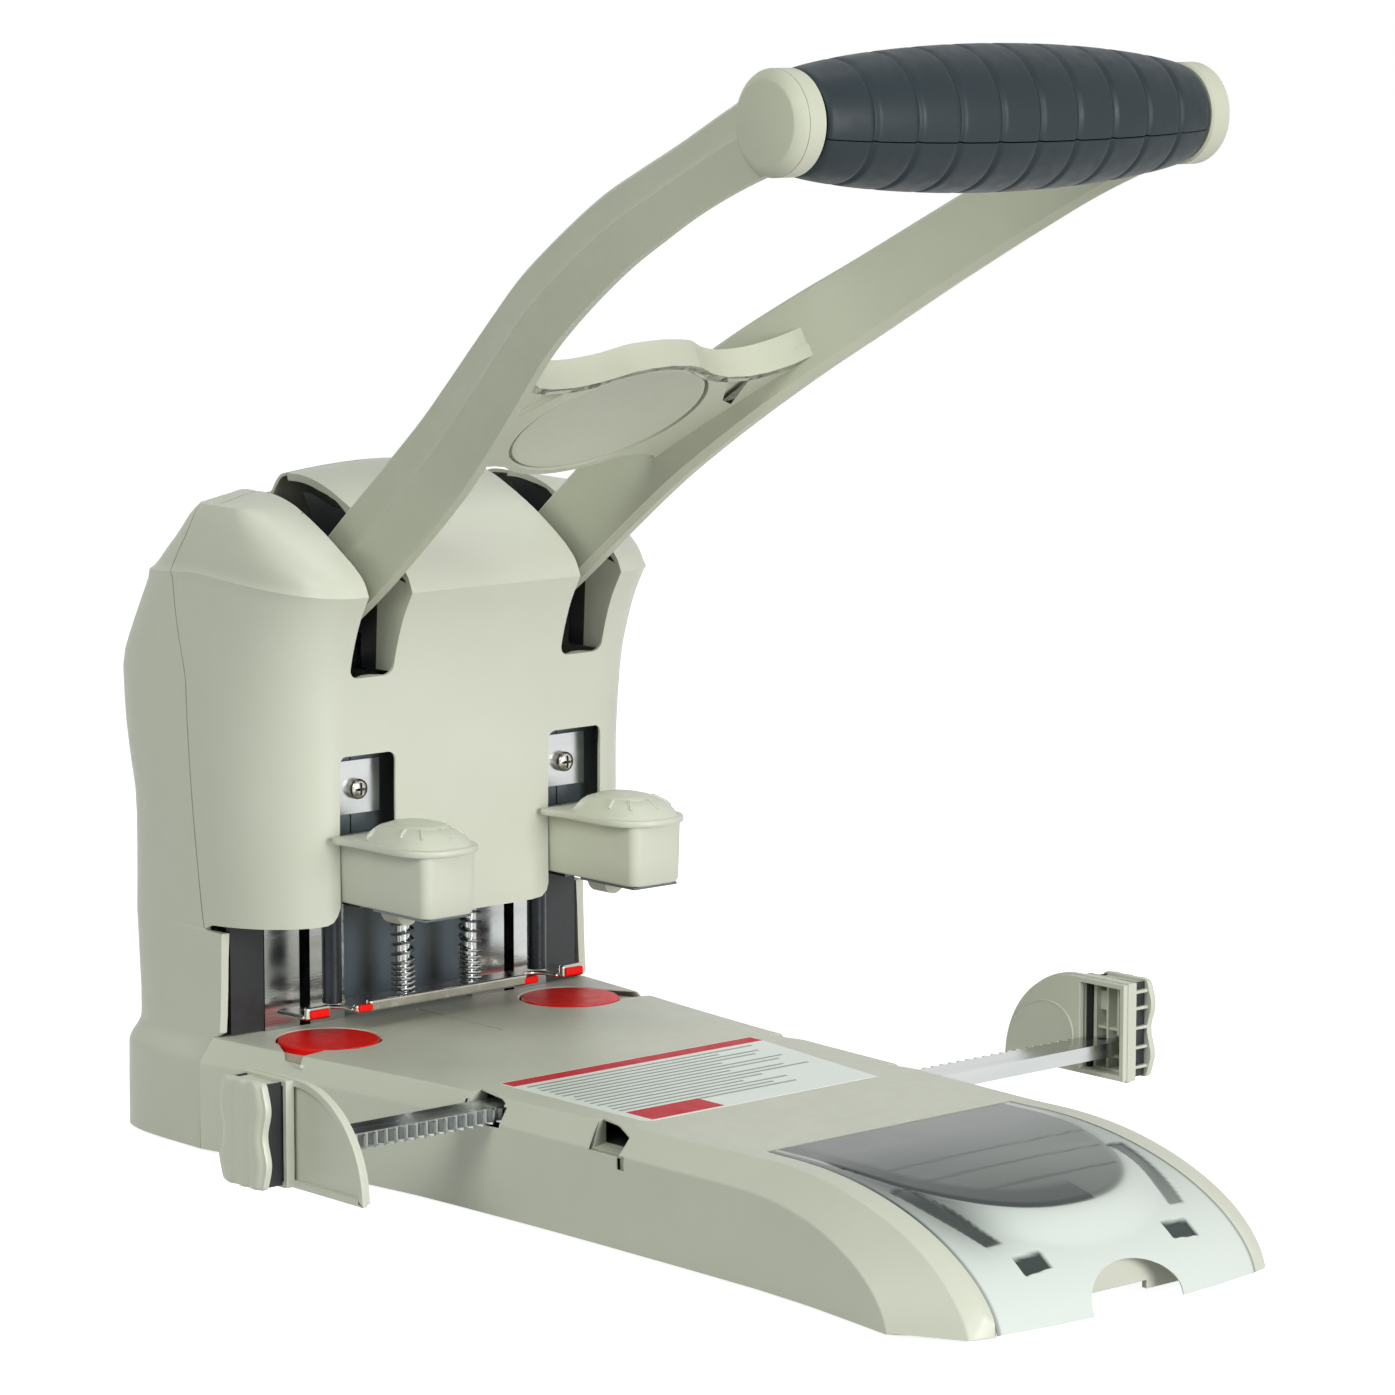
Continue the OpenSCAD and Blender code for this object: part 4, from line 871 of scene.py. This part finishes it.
def lip_wall():
    """Front wall: a rounded bar section carried along the lip, taller and thinner to its ends."""
    p = through(LIP, 60)
    p = np.concatenate([p[:0:-1] * [-1, 1], p])
    s = np.abs(p[:, 0]) / LIP[-1, 0]
    high = 8.6 + 5 * s**3 * (1 - s) * 2
    thick = 3.2 - 1.4 * s**4
    d = np.gradient(p, axis=0)
    d /= np.linalg.norm(d, axis=1)[:, None]
    n = np.stack([-d[:, 1], d[:, 0]], 1)
    sec = [(0, 0), (0.0, 1), (-0.35, 1), (-0.9, 1), (-1, 0.9), (-1, 0)]
    return skin(np.stack([np.concatenate([p + n * (a * thick)[:, None], (b * high)[:, None]], 1)
                          for a, b in sec], 1))


hole = placed(lathe([(0.01, -3), (31.2, -3), (30.7, 0.5), (30.7, 1.8), (0.01, 1.8)], 96), web_frame)
eye = placed(lathe([(0.01, -5.1), (12.6, -5.1), (13.5, -4.2), (13.5, 4.2), (12.6, 5.1),
                    (0.01, 5.1)]), lambda p: along_x(PIVOT)(p) + [HX, 0, 0])
collar = placed(lathe([(8.2, 71.3), (13.3, 71.3), (13.9, 71.9), (13.9, 77.3), (8.2, 77.3)]),
                along_x(GRIP))
piece("lever_arms", both(arm(), eye, collar), "lever", CASTING, replaces="lever_frame")
pocket = placed(prism([(29.5, 22.3), (38.5, 21.8), (43.5, 5), (38, 8)], -3, 1.4), web_frame)
piece("lever_web", [placed(prism(web_outline, 0, 4), web_frame)], "lever", CASTING,
      cuts=[[hole], both(pocket)], bevel=0.5)
piece("lever_lip", [placed(lip_wall(), web_frame)], "lever", CASTING)
piece("lever_badge_disc", [placed(lathe([(0.01, 0.6), (27.6, 0.6), (28.4, 0.35), (29.6, 0.35),
      (29.9, 0.9), (29.9, 1.7), (0.01, 1.7)], 96), web_frame)], "lever", CASTING,
      replaces="medallion")
end_cap = placed(lathe([(0.01, 77.4), (13.8, 77.4), (13.9, 77.6), (13.7, 78), (11.3, 80.2),
                        (10.7, 80.4), (0.01, 80.4)]), along_x(GRIP))
for sign, which in SIDES:
    piece(f"end_cap_{which}_turned", on_side(sign, [end_cap]), "lever", CASTING,
          replaces=f"end_cap_{which}")


GRIP_R, END_R = 19.6, 13.5


def grip(low, high):
    """Half of the barrel grip: END_R at the ends, fuller in the middle by (1 - u^2)^0.8, with
    nine round ring grooves, turned between two angles round the tube."""
    x = np.linspace(-GRIP_HALF, GRIP_HALF, 283)
    u = x / GRIP_HALF
    off = np.abs(x / GROOVE_PITCH - np.round(x / GROOVE_PITCH)) * GROOVE_PITCH
    groove = np.where(np.abs(x) < 60, 0.7 * np.exp(-(off / 0.8) ** 2), 0)
    end = 0.9 * np.exp(-((GRIP_HALF - np.abs(x)) / 0.5))
    r = END_R + (GRIP_R - END_R) * np.clip(1 - u * u, 0, 1) ** 0.8 - groove - end
    a = np.radians(np.linspace(low, high, 37))[:, None]
    p = np.stack([0 * a + x, GRIP[0] - r * np.cos(a), GRIP[1] + r * np.sin(a)], -1)
    return [sheet(p)]


piece("grip_upper_barrel", grip(-17.1, 162.1), "lever", "slate_grip", replaces="grip_upper",
      inside=(0, GRIP[0] - 1, GRIP[1] - 5), wall=2.4, bevel=0.3)
piece("grip_lower_barrel", grip(162.9, 342.1), "lever", "slate_grip", replaces="grip_lower",
      inside=(0, GRIP[0], GRIP[1] + 5), wall=2.4, bevel=0.3)

# ---- discs, pins, knobs ----

disc = placed(lathe([(0.01, -6), (15.1, -6), (15.4, -5.6), (15.4, -0.5), (15.0, 0.0), (0.01, 0.0)],
                    96), lambda p: p + DISC_AT)
for sign, which in SIDES:
    piece(f"disc_{which}_turned", on_side(sign, [disc]), f"turning_disc_{which}", "red_plastic",
          replaces=f"disc_{which}")

# Outline of the pull cap's flange, and the dome over it: share of its outline and height
CAP = through([(0, -33.0), (5.5, -32.3), (10.2, -29.4), (13, -24.4), (13.9, -18), (13.9, -9),
               (13.8, -2), (14.3, 3), (15, 6.6), (14.4, 8.6), (11, 8.7), (0, 8.7), (-11, 8.7),
               (-14.4, 8.6), (-15, 6.6), (-14.3, 3), (-13.8, -2), (-13.9, -9), (-13.9, -18),
               (-13, -24.4), (-10.2, -29.4), (-5.5, -32.3)], 132, closed=True)
DOME = np.array([(1.0, 97.95), (0.985, 98.3), (0.93, 99.4), (0.84, 100.9), (0.74, 102),
                 (0.64, 102.6), (0.56, 102.8), (0.54, 103.2), (0.5, 103.4), (0.25, 103.5),
                 (0.01, 103.5)])
CAP_MID = np.array([0, -14.0])


def oval(a, share):
    """Point of the dome's outline in direction a: superellipse of 12.7 by 17.6 mm."""
    c, s_ = np.cos(a), np.sin(a)
    r = ((np.abs(c) / 12.7) ** 2.5 + (np.abs(s_) / 17.6) ** 2.5) ** (-1 / 2.5) * share
    return np.stack([r * c, CAP_MID[1] + r * s_], -1)


def cap():
    """Pull cap: a thin flange of the D-shaped outline, then an oval dome drawn in ring by ring,
    and five short ridges down its front slope."""
    share = np.array([0.8, 0.985, 1, 1, 0.985])
    high = np.array([95.9, 95.9, 96.25, 97.3, 97.75])
    a = np.arctan2(CAP[:, 1] - CAP_MID[1], CAP[:, 0])
    rings = [CAP_MID + (CAP - CAP_MID) * k for k in share] + [oval(a, k) for k in DOME[:, 0]]
    z = np.concatenate([high, DOME[:, 1]])
    rings = np.stack([np.concatenate([r, np.full((len(r), 1), h)], 1) for r, h in zip(rings, z)])
    along = np.linspace(0.62, 0.86, 7)
    slope = np.interp(along, DOME[::-1, 0], DOME[::-1, 1])
    ridges = [tube(np.concatenate([oval(np.full(7, np.radians(-90 + d)), along), slope[:, None]], 1)
                   + [HX, 0, 0], 0.55, 8) for d in (-64, -33, 0, 33, 64)]
    return [placed(skin(rings), lambda p: p + [HX, 0, 0])] + ridges


def knob_body():
    """Knob body: rounded box section carried up, a little wider at the top."""
    z = np.array([77.2, 77.6, 78.4, 85, 92, 96])
    grow = np.array([-1.4, -0.6, -0.2, 0, 0.15, 0.25])
    a = np.radians(np.linspace(0, 90, 7))
    r = 3.2
    corner = np.stack([9.8 - r + r * np.sin(a), -29.7 + r - r * np.cos(a)], 1)
    half = np.concatenate([corner, [(9.8, -10), (9.8, 8), (9.8, 36)]])
    ring = np.concatenate([half, half[::-1] * [-1, 1]])
    scale = 1 + grow[:, None, None] / np.array([9.8, 29.7])
    rings = ring[None] * scale
    rings = np.concatenate([rings, np.broadcast_to(z[:, None, None], rings.shape[:2] + (1,))], -1)
    return skin(rings + [HX, 0, 0])


lug = placed(prism([*ring_points(4, 180, 360, 13), (4, 8), (-4, 8)], 1, 9), along_y((HX, 76)))
for sign, which in SIDES:
    body = f"punch_{which}"
    piece(f"knob_cap_{which}_dome", on_side(sign, cap()), body, BEIGE,
          replaces=f"knob_cap_{which}", sharp=45)
    piece(f"knob_body_{which}_box", on_side(sign, [knob_body(), lug]), body, BEIGE,
          replaces=f"knob_body_{which}")
    piece(f"knob_plate_{which}", on_side(sign, [box((HX - 8.6, -28.2, 76.5),
                                                    (HX + 8.6, -3, 77.3))]),
          body, BEIGE, mat="dark_plate", bevel=0.2)

# ---- clamp screws and stripper ----

on_screw = along_y((HX, 110))


def cross(a, b, low, high):
    """The two slits of a cross recess, half lengths a and half widths b, between two depths."""
    slit = prism([(-a, -b), (a, -b), (a, b), (-a, b)], low, high)
    return [placed(slit, at) for at in (on_screw, lambda p: on_screw(p[:, [1, 0, 2]]))]


screw = placed(lathe([(0.01, -29), (1.9, -29), (1.9, -15.9), (3.1, -15.9), (3.1, -14.5),
                      (2.9, -13.8), (2.2, -13.3), (1.1, -13.05), (0.01, -13)], 48), on_screw)
piece("clamp_screw_heads", both(screw), "head", "bright_steel", mat="nickel",
      replaces="clamp_screws", cuts=[both(c) for c in cross(2, 0.42, -14.1, -12)], sharp=50)
# Black crosses set into the screw heads' recesses: painted shade
piece("clamp_screw_recess_shade", both(*cross(1.8, 0.4, -14.3, -14)), "head", "bright_steel",
      mat="black_panel")

strip_half = [(54, 38), (54, 24), (44.2, 24), (44.2, PIN_Y)] + [
    (HX + 4.2 * np.cos(a), PIN_Y + 4.2 * np.sin(a)) for a in np.linspace(0.3, np.pi - 0.3, 9)] + [
    (35.8, PIN_Y), (35.8, 24), (31.6, 24)]
strip_plan = strip_half + [(-x, y) for x, y in strip_half[::-1]]
piece("stripper_sheet", [prism(strip_plan, 40.0, 41.5), box((-30.6, 21.6, 40), (30.6, 24.1, 43.4))]
      + both(box((45.2, 22, 40.2), (54, 24.1, 44.1)), box((30.4, 22, 40), (35.6, 24.1, 42.6))),
      "stripper", "bright_steel", mat="nickel", replaces="stripper_plate", bevel=0.7, steps=3,
      angle=60)
piece("stripper_red_tips", both(box((46, 21.2, 40.7), (53.2, 22.6, 43.3)),
                                box((29.8, 21.1, 40.3), (35, 22.6, 42.6))), "stripper",
      "red_plastic", replaces="stripper_tips", bevel=0.65, steps=3)

# ---- paper guides ----

# Face of the left stop plate, its lower and upper edge, the block's two sides, rack's underside
STOP_X, LOW, HIGH, BLOCK, RACK_Z = -131.0, 20.5, 51.0, (19.2, 40.2), 27.4


def in_guide(p):
    """From (y past the guide's middle, z, x) to the left guide's place."""
    return np.stack([p[:, 2], GUIDE_Y + p[:, 0], p[:, 1]], 1)


def block(low, high):
    """Block between two corners given as in in_guide."""
    return placed(box(low, high), in_guide)


def stop_outline(inset):
    """Stop plate: straight at the back and below, quarter circle in front."""
    a = np.radians(np.linspace(90, 180, 25))
    r = 29.8 - inset
    return [(BLOCK[1] - inset, LOW + inset), (BLOCK[1] - inset, HIGH - inset),
            *np.stack([19 + r * np.cos(a), 21.2 + r * np.sin(a)], 1), (-10.8 + inset, LOW + inset)]


def stop_rim():
    """Raised border of the stop plate: its outline and an inset one, joined by a band."""
    out, inner = (np.array(stop_outline(t)) for t in (0, 2.1))
    sec = [(out, -134), (inner, -134), (inner, -132.6), (out, -132.6)]
    rings = np.stack([np.concatenate([o, np.full((len(o), 1), x)], 1) for o, x in sec], 1)
    return placed(skin(rings, closed_path=True), in_guide)


def grip_cover():
    """Outer grip: rounded slab carried up, its ends waved by a cosine and its face fluted."""
    z = np.concatenate([[20.9, 21.3, 22], np.linspace(23, 48.6, 27), [49.6, 50.3, 50.7]])
    shrink = np.concatenate([[1.1, 0.4, 0.1], np.zeros(27), [0.1, 0.4, 1.1]])
    wave = -0.8 * np.cos(4 * np.pi * (z - LOW) / (HIGH - LOW)) - 0.5
    y = np.linspace(-1, 1, 29)
    face = -145 + 0.55 * (0.5 - 0.5 * np.cos(3 * np.pi * y)) * (np.abs(y) < 0.95) + 0.9 * y**12
    mid = sum(BLOCK) / 2
    half = (BLOCK[1] - BLOCK[0]) / 2
    outline_y = np.concatenate([y, [1.03, 1.0, -1.0, -1.03]])
    outline_x = np.concatenate([face, [-143.4, -142.1, -142.1, -143.4]])
    yy = mid + outline_y[None] * (half + wave - shrink)[:, None]
    xx = outline_x[None] + shrink[:, None] * 0.5 * (outline_x[None] < -144)
    rings = np.stack([yy, np.broadcast_to(z[:, None], yy.shape), xx], -1)
    return placed(skin(rings), in_guide)


def walls(y0, y1, z0, z1, x0, x1, t):
    """Four walls of thickness t round a rectangle, from x0 to x1."""
    return [block((y0, z0, x0), (y0 + t, z1, x1)), block((y1 - t, z0, x0), (y1, z1, x1)),
            block((y0 + t, z0, x0), (y1 - t, z0 + t, x1)),
            block((y0 + t, z1 - t, x0), (y1 - t, z1, x1))]


# Hollow block behind the stop plate, the ribs inside it, its clips, and black sheets inside it that
# paint the shade in its hollow
opening = block((21.4, 22.6, -136), (38, 49, -130))
ribs = [block(a, b) for a, b in (
    ((27.2, 22, -141), (28.2, 49.5, -136.5)), ((32.6, 33.5, -141), (33.6, 49.5, -135.5)),
    ((23.4, 34.4, -141), (32.8, 35.4, -137)), ((28, 26, -141), (36.6, 27, -137.5)),
    ((23.6, 40, -138.6), (27.4, 46, -137.8)), ((34.6, 38, -141), (36.4, 47, -138.4)))]
clips = [block((y, z, -142.2), (y + 1.5, z + 1, -136)) for y in (20.4, 37.6)
         for z in (24, 30, 36, 42, 47)]
shell = (walls(19.6, 39.8, 20.8, 50.7, -136.6, -133.8, 1.6)
         + walls(22.4, 37, 21.6, 49.8, -142, -136, 1.3)
         + [block((22.4, 21.6, -142.2), (37, 49.8, -141))])
hollow_shade_sheets = [block((y, 21.4, -142), (y + 0.6, 50.2, -134)) for y in (21.6, 37.2)]
# Fine line on the stop plate, and teeth of the rack's outer stretch in step with the inner ones
line_at = through([(-6.3, 33.5), (-2.2, 37.6), (4, 40.6), (10, 41), (15.3, 38.8), (18.3, 34.5),
                   (18.8, 28)], 30)
plate_line = placed(tube([(*p, -130.95) for p in line_at], 0.28, 6), in_guide)
tooth_y = GUIDE_Y + 21.65
teeth = [prism([(at - 1.0, tooth_y), (at - 0.4, tooth_y - 2), (at + 0.4, tooth_y - 2),
                (at + 1.0, tooth_y)], RACK_Z + 0.2, RACK_Z + 4.2)
         for at in TOOTH_PITCH * np.arange(-36, -15)]
plate = placed(prism(stop_outline(0.5), -132.8, STOP_X), in_guide)
for which, way in (("left", 1), ("right", -1)):
    where = lambda parts: [(p[0] * [way, way, 1] + [0, GUIDE_Y - way * GUIDE_Y, 0], p[1])
                           for p in parts]
    body, name = f"paper_guide_{which}", f"guide_{which}"
    piece(f"{name}_line", where([plate_line]), body, BEIGE)
    piece(f"{name}_stop", where([plate]), body, BEIGE, replaces=name, cuts=[where([opening])],
          bevel=0.4)
    piece(f"{name}_rim", where([stop_rim()]), body, BEIGE, bevel=0.6, steps=3)
    piece(f"{name}_block", where(shell + ribs), body, BEIGE, bevel=0.2, steps=1)
    piece(f"{name}_clips", where(clips if which == "right" else clips[5:]), body, BEIGE,
          bevel=0.2, steps=1)
    # Black sheets in the guide's hollow: painted shade
    piece(f"{name}_channel", where(hollow_shade_sheets), body, "black_panel")
    piece(f"rack_{which}_teeth", where(teeth), body, "bright_steel")
    piece(f"{name}_cover", where([grip_cover()]), body, BEIGE, replaces=f"guide_grip_{which}",
          sharp=50)

# ---- camera, stage and light ----

# Camera fitted to the photo: focal length and picture width in pixels, place in metres, angles
FOCAL_PX, WIDE_PX, CAMERA_AT = 4991.82, 1395, (-0.93503, -1.15051, 0.34768)
AZIMUTH, ELEVATION, ROLL = -41.47, 8.16, 0.03


def aim(azimuth, elevation, roll):
    """Camera axes: right, up and backward, from the angles round the object."""
    az, el, ro = np.radians([azimuth, elevation, roll])
    back = np.array([np.sin(az) * np.cos(el), -np.cos(az) * np.cos(el), np.sin(el)])
    right = np.cross(-back, [0, 0, 1])
    right /= np.linalg.norm(right)
    up = np.cross(right, -back)
    axes = [right * np.cos(ro) + up * np.sin(ro), up * np.cos(ro) - right * np.sin(ro), back]
    return Matrix(np.stack(axes, 1).tolist()).to_4x4()


camera = linked("camera", bpy.data.cameras.new("camera"))
camera.data.sensor_width = 36
camera.data.lens = FOCAL_PX / WIDE_PX * camera.data.sensor_width
camera.data.clip_start, camera.data.clip_end = 0.05, 20
camera.matrix_world = Matrix.Translation(CAMERA_AT) @ aim(AZIMUTH, ELEVATION, ROLL)
bpy.context.scene.camera = camera


def seen(tree, *rays):
    """1 for rays of the kinds named, 0 for all others."""
    path = add(tree, "ShaderNodeLightPath")
    out = path.outputs[rays[0]]
    for ray in rays[1:]:
        out = add(tree, "ShaderNodeMath", {"operation": "MAXIMUM"},
                  {0: out, 1: path.outputs[ray]}).outputs[0]
    return out


# World: soft light for the object, white for what the camera, glass and mirrors see
world = bpy.data.worlds.new("studio")
bpy.context.scene.world = world
wt = cleared(world)
soft = add(wt, "ShaderNodeBackground", {"Color": (0.97, 1.0, 0.94, 1), "Strength": 0.2})
white = add(wt, "ShaderNodeBackground", {"Color": (1, 1, 1, 1), "Strength": 1.0})
add(wt, "ShaderNodeOutputWorld", {}, {"Surface": add(wt, "ShaderNodeMixShader", {}, {
    0: seen(wt, "Is Camera Ray", "Is Transmission Ray", "Is Glossy Ray"),
    1: soft.outputs[0], 2: white.outputs[0]}).outputs[0]})

# Floor: pale card that keeps the shadow, lifted to white where the camera or a mirror sees it
floor_mesh = bpy.data.meshes.new("floor")
floor_mesh.from_pydata([(-4, -4, 0), (4, -4, 0), (4, 4, 0), (-4, 4, 0)], [], [(0, 1, 2, 3)])
floor = linked("floor", floor_mesh)
floor_mat = bpy.data.materials.new("white_card")
ft = cleared(floor_mat)
card = add(ft, "ShaderNodeBsdfDiffuse", {"Color": (0.6, 0.6, 0.6, 1)})
glow = add(ft, "ShaderNodeEmission", {"Color": (1, 1, 1, 1), "Strength": 0.91})
dark = add(ft, "ShaderNodeEmission", {"Color": (0, 0, 0, 1), "Strength": 0.0})
lifted = add(ft, "ShaderNodeMixShader", {}, {0: seen(ft, "Is Camera Ray", "Is Glossy Ray"),
                                             1: dark.outputs[0], 2: glow.outputs[0]})
add(ft, "ShaderNodeOutputMaterial", {}, {"Surface": add(ft, "ShaderNodeAddShader", {}, {
    0: card.outputs[0], 1: lifted.outputs[0]}).outputs[0]})
floor.data.materials.append(floor_mat)
floor.location.z = -0.0002


def lamp(name, at, aim_at, size, power, colour=(1, 1, 1)):
    """Square area lamp at a place in metres, turned towards another."""
    data = bpy.data.lights.new(name, "AREA")
    data.shape, data.size, data.energy, data.color = "SQUARE", size, power, colour
    obj = linked(name, data)
    obj.location = at
    obj.rotation_mode = "QUATERNION"
    obj.rotation_quaternion = (Vector(aim_at) - Vector(at)).to_track_quat("-Z", "Y")


lamp("key", (0.1, -2.5, 0.55), (0, -0.05, 0.12), 0.9, 45, (1, 0.995, 0.98))
lamp("fill", (-1.8, -0.8, 1.6), (0, -0.05, 0.12), 1.2, 24, (0.93, 1, 0.9))
lamp("top", (0.3, 0.2, 2.3), (0, 0, 0.1), 1.2, 9)

bpy.context.scene.view_settings.view_transform = "Standard"
